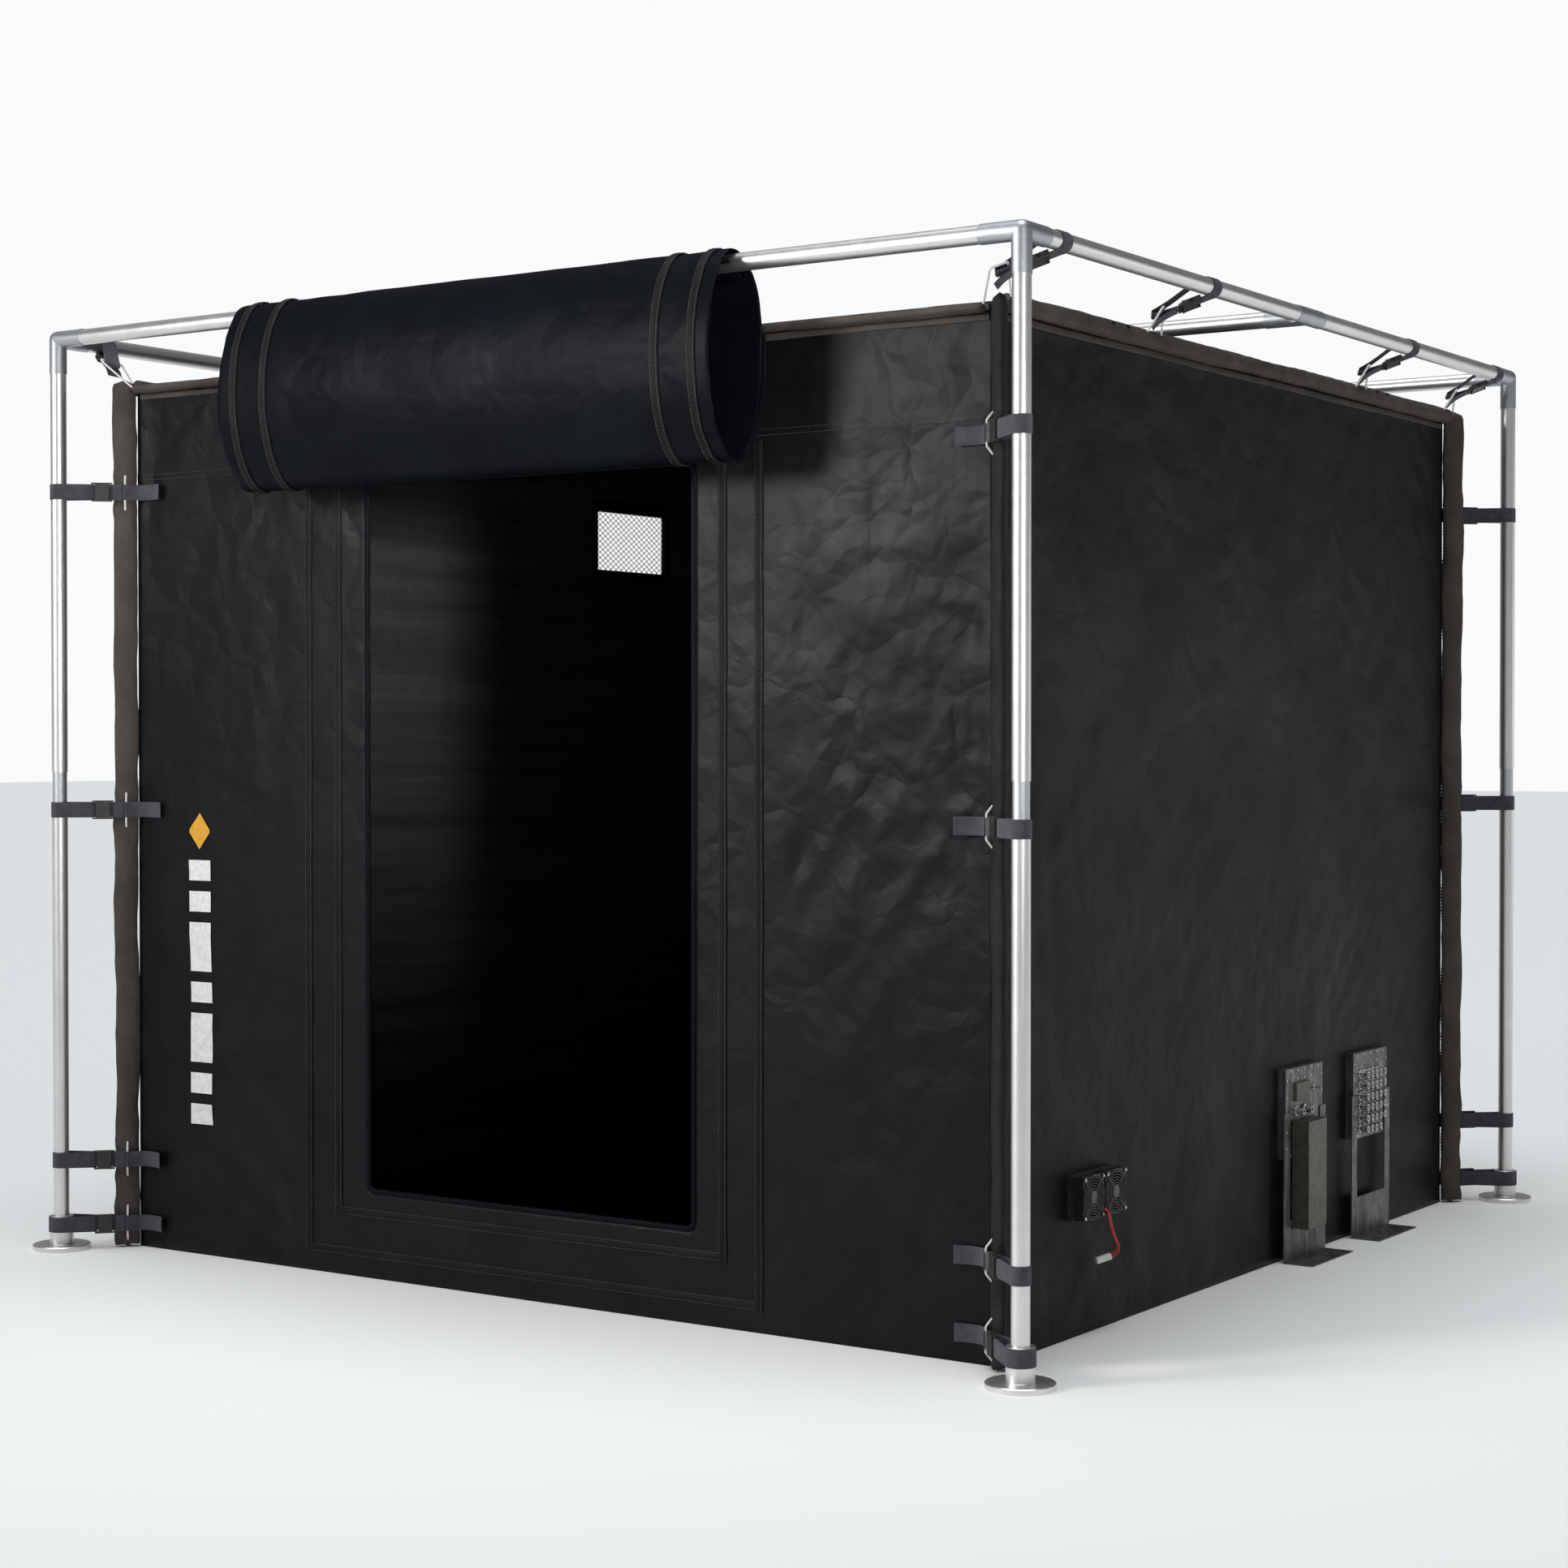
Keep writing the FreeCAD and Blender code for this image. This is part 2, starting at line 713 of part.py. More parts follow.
def fan_frame_pattern():
    """Square fan frame centred on the X axis, with a motor hub held by four struts at the back."""
    square = body_with("fan_frame_square")
    half = size("fan_side") / 2
    sketch = square.newObject("Sketcher::SketchObject", "fan_frame_face")
    sketch.AttachmentSupport = [(origin_plane(square, "YZ_Plane"), "")]
    sketch.MapMode = "FlatFace"
    corners = [Vector(x * half, y * half, 0) for x, y in ((-1, -1), (1, -1), (1, 1), (-1, 1))]
    for index in range(4):
        sketch.addGeometry(Part.LineSegment(corners[index], corners[(index + 1) % 4]), False)
    for index in range(4):
        sketch.addConstraint(Sketcher.Constraint("Coincident", index, 2, (index + 1) % 4, 1))
    for index in (0, 2):
        sketch.addConstraint(Sketcher.Constraint("Horizontal", index))
        sketch.addConstraint(Sketcher.Constraint("Vertical", index + 1))
    sketch.addConstraint(Sketcher.Constraint("Symmetric", 0, 1, 2, 1, -1, 1))
    side = sketch.addConstraint(Sketcher.Constraint("DistanceX", 0, 1, 0, 2, 2 * half))
    sketch.setExpression("Constraints[%d]" % side, "dims.fan_side")
    rise = sketch.addConstraint(Sketcher.Constraint("DistanceY", 1, 1, 1, 2, 2 * half))
    sketch.setExpression("Constraints[%d]" % rise, "dims.fan_side")
    sketch.addGeometry(Part.Circle(Vector(), Vector(0, 0, 1), size("fan_bore")), False)
    sketch.addConstraint(Sketcher.Constraint("Coincident", 4, 3, -1, 1))
    bore = sketch.addConstraint(Sketcher.Constraint("Radius", 4, size("fan_bore")))
    sketch.setExpression("Constraints[%d]" % bore, "dims.fan_bore")
    pad(square, "fan_frame_pad", sketch, "fan_depth")
    doc.recompute()
    hub = rod("stator_hub", "stator_radius", "stator_depth", along="x")
    struts = []
    for turn in range(4):
        strut = free(box("strut_%d" % turn, ("stator_depth", "strut_width", "fan_bore"), ("0", "0", "0")))
        spin = Rotation(Vector(1, 0, 0), 45 + 90 * turn)
        strut.Placement = Placement(spin.multVec(Vector(0, -size("strut_width") / 2, 0.5)), spin)
        struts.append(strut)
    solid = fuse("fan_frame_solid", [square, hub] + struts)
    return cut("fan_frame_pattern", solid, rod("axle_bearing", "axle_bore", "fan_depth", along="x"))


def impeller_pattern():
    """Hub cup, axle and twisted blades, turned about the X axis."""
    hub = rod("impeller_hub", "hub_radius", "hub_length", ("stator_depth buckle_gap", "0", "0"), "x")
    axle = rod("impeller_axle", "axle_radius", "axle_length buckle_gap buckle_gap", ("0", "0", "0"), "x")
    blades = []
    for turn in range(int(size("blade_count"))):
        blade = free(box("blade_%d" % turn, ("blade_thick", "blade_chord", "blade_tip")))
        pitch = Rotation(Vector(0, 0, 1), size("blade_pitch"))
        spin = Rotation(Vector(1, 0, 0), 360 * turn / size("blade_count"))
        middle = pitch.multVec(Vector(-size("blade_thick") / 2, -size("blade_chord") / 2, 0))
        seat = Vector(size("stator_depth") + size("hub_length") / 2 + 1, 0, 0)
        blade.Placement = Placement(seat + spin.multVec(middle), spin.multiply(pitch))
        blades.append(blade)
    swept = fuse("impeller_blades", blades)
    limit = rod("impeller_limit", "blade_tip", "fan_depth", along="x")
    trimmed = doc.addObject("Part::Common", "impeller_trimmed")
    trimmed.Base = swept
    trimmed.Tool = limit
    return fuse("impeller_pattern", [hub, axle, trimmed])


def guard_pattern():
    """Finger guard: flat rings, a centre disc, four spokes and an eye at each corner."""
    wire = "guard_wire"
    pieces = [rod("guard_centre", "guard_disc", wire, along="x")]
    for ring in range(1, int(size("guard_rings")) + 1):
        radius = "guard_disc" + " guard_pitch" * ring
        name = "guard_ring_%d" % ring
        pieces.append(tube(name, radius, radius + " -guard_wire", wire, along="x"))
    for turn in range(4):
        spoke = free(box("spoke_%d" % turn, (wire, wire, "guard_reach")))
        spin = Rotation(Vector(1, 0, 0), 45 + 90 * turn)
        spoke.Placement = Placement(spin.multVec(Vector(0, -size(wire) / 2, 0)), spin)
        pieces.append(spoke)
        eye = tube("guard_eye_%d" % turn, "guard_eye", "screw_shank", wire, along="x")
        offset = size("fan_side") / 2 - size("screw_inset")
        across = Rotation(Vector(1, 0, 0), 90 * turn).multVec(Vector(0, offset, offset))
        eye.Placement = Placement(across, Rotation())
        pieces.append(eye)
    return fuse("guard_pattern", pieces)


def screw_shape(head_radius, head_height, shank_radius, shank_length):
    """Pan-head screw pointing along -X from the face at x = 0."""
    facing = Vector(1, 0, 0)
    head = Part.makeCylinder(size(head_radius), size(head_height), Vector(), facing)
    rim = [edge for edge in head.Edges if edge.Closed and edge.CenterOfMass.x > size(head_height) / 2]
    head = head.makeFillet(size(head_height) / 3, rim)
    start = Vector(-size(shank_length), 0, 0)
    shank = Part.makeCylinder(size(shank_radius), size(shank_length), start, facing)
    return head.fuse(shank).removeSplitter()


def fan_screw_places():
    front = total("tent_half plenum_depth fan_depth guard_gap guard_wire")
    offset = size("fan_side") / 2 - size("screw_inset")
    places = []
    for number in range(2):
        across, level = fan_middle(number)
        for side_y in (-1, 1):
            for side_z in (-1, 1):
                places.append(Vector(front, across + side_y * offset, level + side_z * offset))
    return places


def fans():
    fan_plenum()
    frame = fan_frame_pattern()
    impeller = impeller_pattern()
    guard = guard_pattern()
    doc.recompute()
    back = total("tent_half plenum_depth")
    frames = []
    guards = []
    for number, name in enumerate(("fan_impeller_front", "fan_impeller_rear")):
        across, level = fan_middle(number)
        frames.append(copy_of(frame, Placement(Vector(back, across, level), Rotation())))
        face = back + total("fan_depth guard_gap")
        guards.append(copy_of(guard, Placement(Vector(face, across, level), Rotation())))
        wheel = doc.addObject("Part::Feature", name)
        wheel.Shape = impeller.Shape.copy()
        wheel.Placement = Placement(Vector(back, across, level), Rotation())
        node(name, wheel)
    copies("fan_frames", frames)
    copies("finger_guards", guards)


# ---------------------------------------------------------------- cords

def cord(points, radius, arc=None):
    """Round cord along straight runs joined by tangent arcs; returns the solid and the bend radii."""
    pieces = []
    radii = []
    start = points[0]
    for index in range(1, len(points) - 1):
        corner = points[index]
        back = (points[index - 1] - corner)
        ahead = (points[index + 1] - corner)
        half_turn = (math.pi - back.getAngle(ahead)) / 2
        reach = 0.45 * min(back.Length, ahead.Length)
        bend = reach / math.tan(half_turn)
        if arc is not None and arc < bend:
            bend = arc
            reach = bend * math.tan(half_turn)
        radii.append(bend)
        into = corner + back.normalize() * reach
        out = corner + ahead.normalize() * reach
        inward = (back + ahead).normalize()
        middle = corner + inward * (math.hypot(bend, reach) - bend)
        pieces.append(Part.LineSegment(start, into).toShape())
        pieces.append(Part.Arc(into, middle, out).toShape())
        start = out
    pieces.append(Part.LineSegment(start, points[-1]).toShape())
    path = Part.Wire(pieces)
    section = Part.Wire([Part.Circle(points[0], points[1] - points[0], radius).toShape()])
    solid = path.makePipeShell([section], True, False)
    expected = math.pi * radius ** 2 * path.Length
    if abs(solid.Volume - expected) > 0.01 * expected:
        raise ValueError("cord volume is off by more than one per cent")
    return solid, radii, path.Length


# leads from the gap between the fans to the connector: out from the fans' front, across and up
LEAD_ROUTES = {
    "fan_lead_front": [
        (-16, -816.65, 266), (-2, -816.65, 266), (5.4, -816.3, 261.8), (9.6, -815.5, 253.5),
        (10.5, -813, 239.5), (12.5, -805.8, 217.3), (15.6, -796, 197.1), (17.3, -789.1, 188.5),
        (16.2, -787.6, 179.9), (13, -790.3, 172.3), (8.5, -796.2, 167.9), (5.6, -800.6, 166.9)],
    "fan_lead_rear": [
        (-16, -812.35, 266), (-2, -812.35, 266), (5.4, -811.7, 261.8), (9.6, -810.5, 254.5),
        (10.5, -807.2, 241.1), (12.5, -800.2, 219.5), (14.5, -790.5, 197.9), (17.4, -783.5, 187.1),
        (18.2, -783.9, 177.6), (15.7, -787, 169.2), (11.5, -792.7, 163.2), (6.4, -799.4, 161.1)]}


def fan_leads():
    """Two leads side by side, out of the gap between the fans and down to one connector."""
    front = total("tent_half plenum_depth fan_depth")
    ends = []
    for label, offsets in LEAD_ROUTES.items():
        points = [Vector(front + out, across, level) for out, across, level in offsets]
        solid, radii, length = cord(points, size("lead_radius"))
        print(label, "length %.1f" % length, "bends", ["%.1f" % radius for radius in radii])
        lead = doc.addObject("Part::Feature", label)
        lead.Shape = solid
        node(label, lead)
        ends.append(points[-1])
    side = size("plug_side")
    block = rounded("lead_connector", box("connector_block", ("plug_length", "plug_side", "plug_side")),
                    "axle_radius", along_x)
    turn = Rotation(size("plug_heading"), size("plug_tilt"), 0)
    middle = (ends[0] + ends[1]) * 0.5
    block.Placement = Placement(middle - turn.multVec(Vector(-size("web_gap"), side / 2, side / 2)), turn)
    node("lead_connector", block)


# ---------------------------------------------------------------- connector panels

PANELS = {"power": "power_middle", "signal": "signal_middle"}


def panel(label, middle):
    """Raised sheet panel, open towards the wall."""
    body = body_with(label)
    face = [("0", "0"), ("panel_width", "0"), ("panel_width", "panel_height"), ("0", "panel_height")]
    pad(body, label + "_pad", outline(body, label + "_face", "YZ_Plane", face), "panel_depth")
    right = "panel_width -panel_skin"
    top = "panel_height -panel_skin"
    hollow = [("panel_skin", "panel_skin"), (right, "panel_skin"), (right, top), ("panel_skin", top)]
    pocket = body.newObject("PartDesign::Pocket", label + "_hollow")
    pocket.Profile = outline(body, label + "_inside", "YZ_Plane", hollow)
    bind(pocket, "Length", "panel_depth -panel_skin")
    pocket.Reversed = True
    start = size(middle) - size("panel_width") / 2
    body.Placement = Placement(Vector(size("tent_half"), start, size("panel_sill")), Rotation())
    return node(label, body)


def stand(label, middle):
    """Bent sheet: a foot on the floor and a web that forks into two uprights."""
    body = body_with(label)
    side = [("0", "0"), ("stand_foot", "0"), ("stand_foot", "stand_sheet"), ("stand_sheet", "stand_sheet"),
            ("stand_sheet", "stand_height"), ("0", "stand_height")]
    pad(body, label + "_pad", outline(body, label + "_side", "XZ_Plane", side), "stand_half stand_half", True)
    gap = [("-stand_half stand_upright", "stand_web"), ("stand_half -stand_upright", "stand_web"),
           ("stand_half -stand_upright", "stand_height disc_height"),
            ("-stand_half stand_upright", "stand_height disc_height")]
    fork = body.newObject("PartDesign::Pocket", label + "_fork")
    fork.Profile = outline(body, label + "_gap", "YZ_Plane", gap)
    fork.Type = 1
    fork.Midplane = True
    body.Placement = Placement(Vector(total("tent_half panel_depth"), size(middle), 0), Rotation())
    return node(label, body)


def panel_screw_places(middle):
    """Screws round the rim of a panel, a short second row below the top, and two on each stand upright."""
    pitch = size("panel_screw_pitch")
    half_width = size("panel_width") / 2 - size("panel_screw_inset")
    half_height = size("panel_height") / 2 - size("panel_screw_inset")
    level = size("panel_sill") + size("panel_height") / 2
    face = total("tent_half panel_depth")
    places = []
    for step in range(-2, 3):
        places.append((face, middle + step * pitch, level + half_height))
        if step:
            places.append((face, middle + step * pitch, level - half_height))
    for step in (-1, 0, 1):
        places.append((face, middle + step * pitch, level + half_height - pitch / 2))
    for side in (-1, 1):
        for drop in (0.5, 1.5):
            places.append((face, middle + side * half_width, level + half_height - drop * pitch))
        stand_face = face + size("stand_sheet")
        inset = size("stand_half") - size("stand_screw_inset")
        for height in (size("stand_screw_low"), size("stand_screw_high")):
            places.append((stand_face, middle + side * inset, height))
    return [Vector(*place) for place in places]


def panels():
    for name, middle in PANELS.items():
        panel(name + "_panel", middle)
        stand(name + "_stand", middle)
    backs = []
    for name, middle in PANELS.items():
        plate = box(name + "_backing", ("backing_depth", "panel_width", "panel_height"),
                    ("tent_half -cloth -backing_depth", "0", "panel_sill"))
        plate.setExpression("Placement.Base.y", "dims.%s - dims.panel_width / 2" % middle)
        hole = box(name + "_backing_hole", ("backing_depth cloth", "cable_hole cable_hole", "cable_hole"),
                   ("tent_half -cloth -backing_depth", middle + " -cable_hole",
                    "panel_sill vent_border vent_border"))
        backs.append(cut(name + "_backing_plate", plate, hole))
    node("backing_plates", together("backing_plates", backs))


def machine_screws():
    """Fan screws through the finger guards, and the shorter ones of the panels and stands."""
    groups = [(screw_shape("screw_head", "screw_height", "screw_shank", "screw_length"), fan_screw_places())]
    short = screw_shape("panel_screw_radius", "panel_screw_height", "screw_shank", "panel_skin")
    groups += [(short, panel_screw_places(size(middle))) for middle in PANELS.values()]
    shapes = []
    for screw, places in groups:
        for place in places:
            shape = screw.copy()
            shape.Placement = Placement(place, Rotation())
            shapes.append(shape)
    copies("machine_screws", shapes)


def mains_filter():
    """Line filter: a tall can on a wider base plate, stood off the panel by four bosses."""
    back = "tent_half panel_depth filter_standoff"
    block = box("filter_block", ("filter_depth", "filter_width", "filter_height"),
                (back, "filter_front", "filter_sill"))
    can = rounded("filter_can", block, "disc_bevel",
                  lambda edge: not along_x(edge) and edge.CenterOfMass.x > total(back) + 1)
    plate = box("filter_plate", ("flange_skin", "filter_width flange_wing flange_wing", "filter_height"),
                (back, "filter_front -flange_wing", "filter_sill"))
    bosses = []
    for row, level in enumerate(("panel_sill fan_depth", "filter_sill filter_height -fan_depth")):
        sides = ("filter_front boss_radius", "filter_front filter_width -boss_radius")
        for column, across in enumerate(sides):
            bosses.append(rod("filter_boss_%d_%d" % (row, column), "boss_radius", "filter_standoff",
                              ("tent_half panel_depth", across, level), "x"))
    node("mains_filter", fuse("mains_filter", [can, plate] + bosses))


def outlet_cover():
    block = box("outlet_block", ("outlet_depth", "outlet_width", "outlet_height"),
                ("tent_half panel_depth", "outlet_front", "outlet_sill"))
    front = total("tent_half panel_depth outlet_depth")
    cover = rounded("outlet_cover", block, "outlet_bevel",
                    lambda edge: abs(edge.CenterOfMass.x - front) < 0.01)
    node("outlet_cover", cover)


def conduit_fittings():
    """Two threaded conduit stubs and an earth stud on the power panel."""
    face = "tent_half panel_depth"
    stubs = []
    for number, across in enumerate(("outlet_front boss_radius", "outlet_front jack_pitch jack_pitch")):
        place = (face, across, "fitting_level")
        nut = rod("conduit_nut_%d" % number, "fitting_nut", "fitting_nut_depth", place, "x")
        pipe = rod("conduit_pipe_%d" % number, "fitting_pipe", "fitting_length", place, "x")
        hollow = rod("conduit_hollow_%d" % number, "jack_bore", "fitting_length",
                     (face + " fitting_nut_depth", across, "fitting_level"), "x")
        stubs.append(cut("conduit_stub_%d" % number, fuse("conduit_solid_%d" % number, [nut, pipe]), hollow))
    level = "outlet_sill fan_depth"
    across = "outlet_front outlet_width fan_depth"
    place = (face, across, level)
    stud = fuse("earth_stud", [rod("earth_nut", "boss_radius", "fitting_nut_depth", place, "x"),
                               rod("earth_bolt", "disc_bevel", "fitting_length", place, "x")])
    node("conduit_fittings", together("conduit_fittings", stubs + [stud]))


def coax_jacks():
    """Array of threaded coax jacks; the lowest row is one short."""
    nut = rod("jack_nut_disc", "jack_nut", "jack_nut_depth", along="x")
    barrel = rod("jack_barrel", "jack_radius", "jack_length", along="x")
    hollow = tube("jack_hollow", "jack_bore", "jack_pin", "jack_length -jack_nut_depth",
                  ("jack_nut_depth jack_nut_depth", "0", "0"), "x")
    pattern = cut("jack_pattern", fuse("jack_solid", [nut, barrel]), hollow)
    doc.recompute()
    face = total("tent_half panel_depth")
    shapes = []
    for row in range(int(size("jack_rows"))):
        last = row == int(size("jack_rows")) - 1
        for column in range(int(size("jack_columns")) - last):
            across = size("jack_front") + column * size("jack_pitch")
            level = size("jack_level") - row * size("jack_pitch")
            shapes.append(copy_of(pattern, Placement(Vector(face, across, level), Rotation())))
    copies("coax_jacks", shapes)


# ---------------------------------------------------------------- straps

def plain_box(low, high):
    return Part.makeBox(high[0] - low[0], high[1] - low[1], high[2] - low[2], Vector(*low))


def socket_shape():
    """Buckle socket from x = 0: webbing bar and slot, then a flat pocket open at the far end."""
    half = size("buckle_half")
    thick = size("buckle_thick")
    length = size("socket_length")
    slot_end = size("socket_slot")
    bar = size("socket_bar")
    bar_half = size("socket_bar_half")
    inner = half - size("buckle_wall")
    shell = plain_box((0, -thick, -half), (length, thick, half))
    edges = [edge for edge in shell.Edges if abs(edge.tangentAt(0).x) > 0.99]
    shell = shell.makeFillet(size("disc_bevel"), edges)
    pocket = size("pocket_thick")
    hollows = [plain_box((bar, -thick - 1, -inner), (slot_end, thick + 1, inner)),
               plain_box((-1, bar_half, -inner), (bar, thick + 1, inner)),
               plain_box((-1, -thick - 1, -inner), (bar, -bar_half, inner)),
               plain_box((size("pocket_start"), -pocket, -inner), (length + 1, pocket, inner))]
    latch = size("latch_start")
    deep = size("prong_thick")
    for side in (-1, 1):
        window = sorted((side * inner, side * (half + 1)))
        hollows.append(plain_box((latch, -deep, window[0]), (latch + size("latch_length"), deep, window[1])))
    return shell.cut(hollows)


def plug_shape():
    """Buckle plug: two prongs and a guide along -X, a base and a webbing frame along +X."""
    half = size("buckle_half")
    thick = size("buckle_thick")
    base = size("plug_base")
    frame = size("plug_frame")
    inner = half - size("buckle_wall")
    pieces = [plain_box((0, -thick, -half), (base, thick, half)),
              plain_box((-size("prong_length"), -size("guide_half"), -size("guide_half")),
                        (0, size("guide_half"), size("guide_half"))),
              plain_box((base, -thick / 2, -half), (frame, thick / 2, half))]
    deep = size("prong_thick")
    for side in (-1, 1):
        span = sorted((side * size("prong_inner"), side * size("prong_outer")))
        pieces.append(plain_box((-size("prong_length"), -deep, span[0]), (0, deep, span[1])))
    solid = pieces[0].fuse(pieces[1:]).removeSplitter()
    step = (frame - base) / 2
    slots = []
    for start in (base, base + step):
        slots.append(plain_box((start, -thick, -inner), (start + step - size("socket_bar"), thick, inner)))
    return solid.cut(slots)


def strand(points):
    """Flat webbing standing on edge: a band of even thickness along a line of points in plan."""
    half = size("web_half")
    left = []
    right = []
    ways = [(after - before).normalize() for before, after in zip(points, points[1:])]
    for point, way, on in zip(points, ways[:1] + ways, ways + ways[-1:]):
        square = Vector(-way.y, way.x, 0)
        across = (square + Vector(-on.y, on.x, 0)).normalize()
        reach = size("web_thick") / 2 / across.dot(square)
        left.append(point + across * reach)
        right.append(point - across * reach)
    ring = left + right[::-1]
    face = Part.Face(Part.makePolygon(ring + ring[:1]))
    return face.extrude(Vector(0, 0, 2 * half)).translated(Vector(0, 0, -half))


def web_ring(radius, place):
    """Short sleeve of webbing round a bar of the given radius that stands at place."""
    half = size("web_half")
    low = place - Vector(0, 0, half)
    hollow = Part.makeCylinder(radius, 2 * half, low)
    return Part.makeCylinder(radius + size("web_thick"), 2 * half, low).cut(hollow)


def web_offset(wrap):
    """Distance from a tube's axis to the middle of the webbing laid on it."""
    return size(wrap) + size("web_gap") + size("web_thick") / 2


def near_strand(offset, buckle):
    """Two plies from the tube to the buckle, sewn together past the socket's bar."""
    half = size("web_half")
    thick = size("web_thick")
    gap = size("socket_bar_half") + size("web_gap")
    end = buckle + size("socket_slot") - size("socket_bar")
    near = buckle - size("fitting_nut")
    plies = [strand([Vector(0, offset, 0), Vector(near, offset, 0),
                     Vector(buckle, offset + side * (gap + thick / 2), 0),
                     Vector(end, offset + side * (gap + thick / 2), 0)]) for side in (-1, 1)]
    seam = plain_box((end - thick, offset - gap - thick, -half), (end, offset + gap + thick, half))
    return plies + [seam]


def plug_end(buckle):
    """Where the webbing leaves a fastened plug."""
    return buckle + size("socket_length") + size("buckle_gap") + size("plug_frame") + size("web_gap")


def joined(wrap, strands):
    """One webbing solid: the ring round the tube and the strands that leave it."""
    radius = size(wrap) + size("web_gap")
    half = size("web_half")
    clear = Part.makeCylinder(radius, 6 * half, Vector(0, 0, -3 * half))
    ring = web_ring(radius, Vector())
    return ring.fuse([piece.cut(clear) for piece in strands]).removeSplitter()


def mirrored(shape, side_x, side_y):
    """The same shape for a corner on the other side of the tent."""
    for side, normal in ((side_x, Vector(1, 0, 0)), (side_y, Vector(0, 1, 0))):
        if side < 0:
            shape = shape.mirror(Vector(), normal)
    return shape


def moved(shape, frame):
    shape = shape.copy()
    shape.Placement = frame.multiply(shape.Placement)
    return shape


def sleeve_middle():
    """Middle of a corner sleeve along X, the same along Y."""
    return size("tent_half") + size("corner_reach") * math.sqrt(0.5)


def post_frame(wrap):
    """Strap frame at the right rear post, and the distance along it to the cord.

    X runs from the post to the cord, and the buckled strand is on the +Y side.
    """
    post = size("post_offset")
    out = size("post_anchor_out") * math.sqrt(0.5)
    anchor = Vector(sleeve_middle() - out - post, sleeve_middle() + out - post, 0)
    offset = web_offset(wrap)
    reach = math.sqrt(anchor.Length ** 2 - offset ** 2)
    heading = math.degrees(math.atan2(anchor.y, anchor.x) + math.atan2(offset, reach))
    turn = Rotation(Vector(0, 0, 1), heading).multiply(Rotation(Vector(1, 0, 0), 180))
    return Placement(Vector(post, post, 0), turn), reach


def post_webbing(wrap):
    """Webbing of a post strap: loop with the bight round the cord, and the tail along the wall."""
    frame, reach = post_frame(wrap)
    offset = web_offset(wrap)
    thick = size("web_thick")
    back = frame.inverse()
    bight = size("bight_radius")
    sleeve = back.multVec(Vector(sleeve_middle(), sleeve_middle(), 0))
    flank = sleeve.y + size("corner_thick") + thick
    far = strand([Vector(0, -offset, 0), Vector(sleeve.x - size("corner_reach") - thick, flank, 0),
                  Vector(sleeve.x - size("screw_length"), flank, 0),
                  Vector(reach, offset - bight + thick / 2, 0)])
    eye = web_ring(bight - thick, Vector(reach, offset, 0))
    wide = 2 * size("web_half")
    hollow = Part.makeCylinder(bight - thick, 2 * wide, Vector(reach, offset, -wide))
    tent = size("tent_half")
    wall = tent + thick / 2 + size("web_gap")
    ends = [Vector(tent - 5, wall + 28, 0), Vector(tent - 21, wall, 0),
            Vector(tent - 21 - size("post_tail"), wall, 0)]
    tail = strand([Vector(reach, offset + bight - thick / 2, 0)] + [back.multVec(end) for end in ends])
    rest = [piece.cut(hollow) for piece in (far, eye, tail)]
    return joined(wrap, near_strand(offset, size("post_buckle")) + rest)


def post_link(wrap):
    """Doubled webbing between a fastened plug and the bight of a post strap."""
    reach = post_frame(wrap)[1]
    offset = web_offset(wrap)
    half = size("web_half")
    start = plug_end(size("post_buckle"))
    end = reach - size("bight_radius") - size("web_gap")
    return plain_box((start, offset - size("web_thick"), -half), (end, offset + size("web_thick"), half))


def post_cord(wrap):
    """Loop of cord at the right rear corner: out of the sleeve, through the bight and back."""
    frame, reach = post_frame(wrap)
    anchor = frame.multVec(Vector(reach, web_offset(wrap), 0))
    skin = (size("corner_thick") - size("sleeve_wall")) * math.sqrt(0.5)
    hole = Vector(sleeve_middle() - skin, sleeve_middle() + skin, 0)
    bend = Vector(0, 0, size("cord_bend"))
    spread = Vector(0, 0, size("post_cord_spread"))
    anchor = Vector(anchor.x, anchor.y, 0)
    points = [hole + spread, anchor + bend, anchor - bend, hole - spread]
    solid, radii, length = cord(points, size("cord_radius"), size("cord_turn"))
    print("post cord length %.1f" % length, "bends", ["%.1f" % radius for radius in radii])
    return solid


def buckle_shapes(offset, buckle):
    """Socket and plug laid on the strap frame."""
    socket = socket_shape().translated(Vector(buckle, offset, 0))
    plug = plug_shape().translated(Vector(buckle + size("socket_length") + size("buckle_gap"), offset, 0))
    return socket, plug


class StrapParts:
    """Shapes of all the straps, gathered by kind."""
    def __init__(self):
        self.webbing = []
        self.sockets = []
        self.plugs = []
        self.cords = []


def post_straps(parts):
    """Sixteen straps from the posts to the corner sleeves; the near post's four buckles come undone."""
    for number, height in enumerate(POST_STRAP_HEIGHTS, start=1):
        wrap = "collar_radius" if height < size("collar_top") else "tube_radius"
        frame = post_frame(wrap)[0]
        webbing = moved(post_webbing(wrap), frame)
        link = moved(post_link(wrap), frame)
        socket, plug = (moved(shape, frame) for shape in buckle_shapes(web_offset(wrap), size("post_buckle")))
        loop = post_cord(wrap)
        for corner, sides in CORNERS.items():
            up = Vector(0, 0, height)
            parts.webbing.append(mirrored(webbing.translated(up), *sides))
            parts.sockets.append(mirrored(socket.translated(up), *sides))
            parts.cords.append(mirrored(loop.translated(up), *sides))
            tongue = mirrored(plug.translated(up), *sides)
            if corner == "front_right":
                release = doc.addObject("Part::Feature", "buckle_plug_%d" % number)
                release.Shape = tongue
                node("buckle_plug_%d" % number, release)
                way = frame.Rotation.multVec(Vector(1, 0, 0))
                print("buckle_plug_%d slides along" % number, [round(way.x, 5), round(-way.y, 5), 0])
            else:
                parts.plugs.append(tongue)
                parts.webbing.append(mirrored(link.translated(up), *sides))


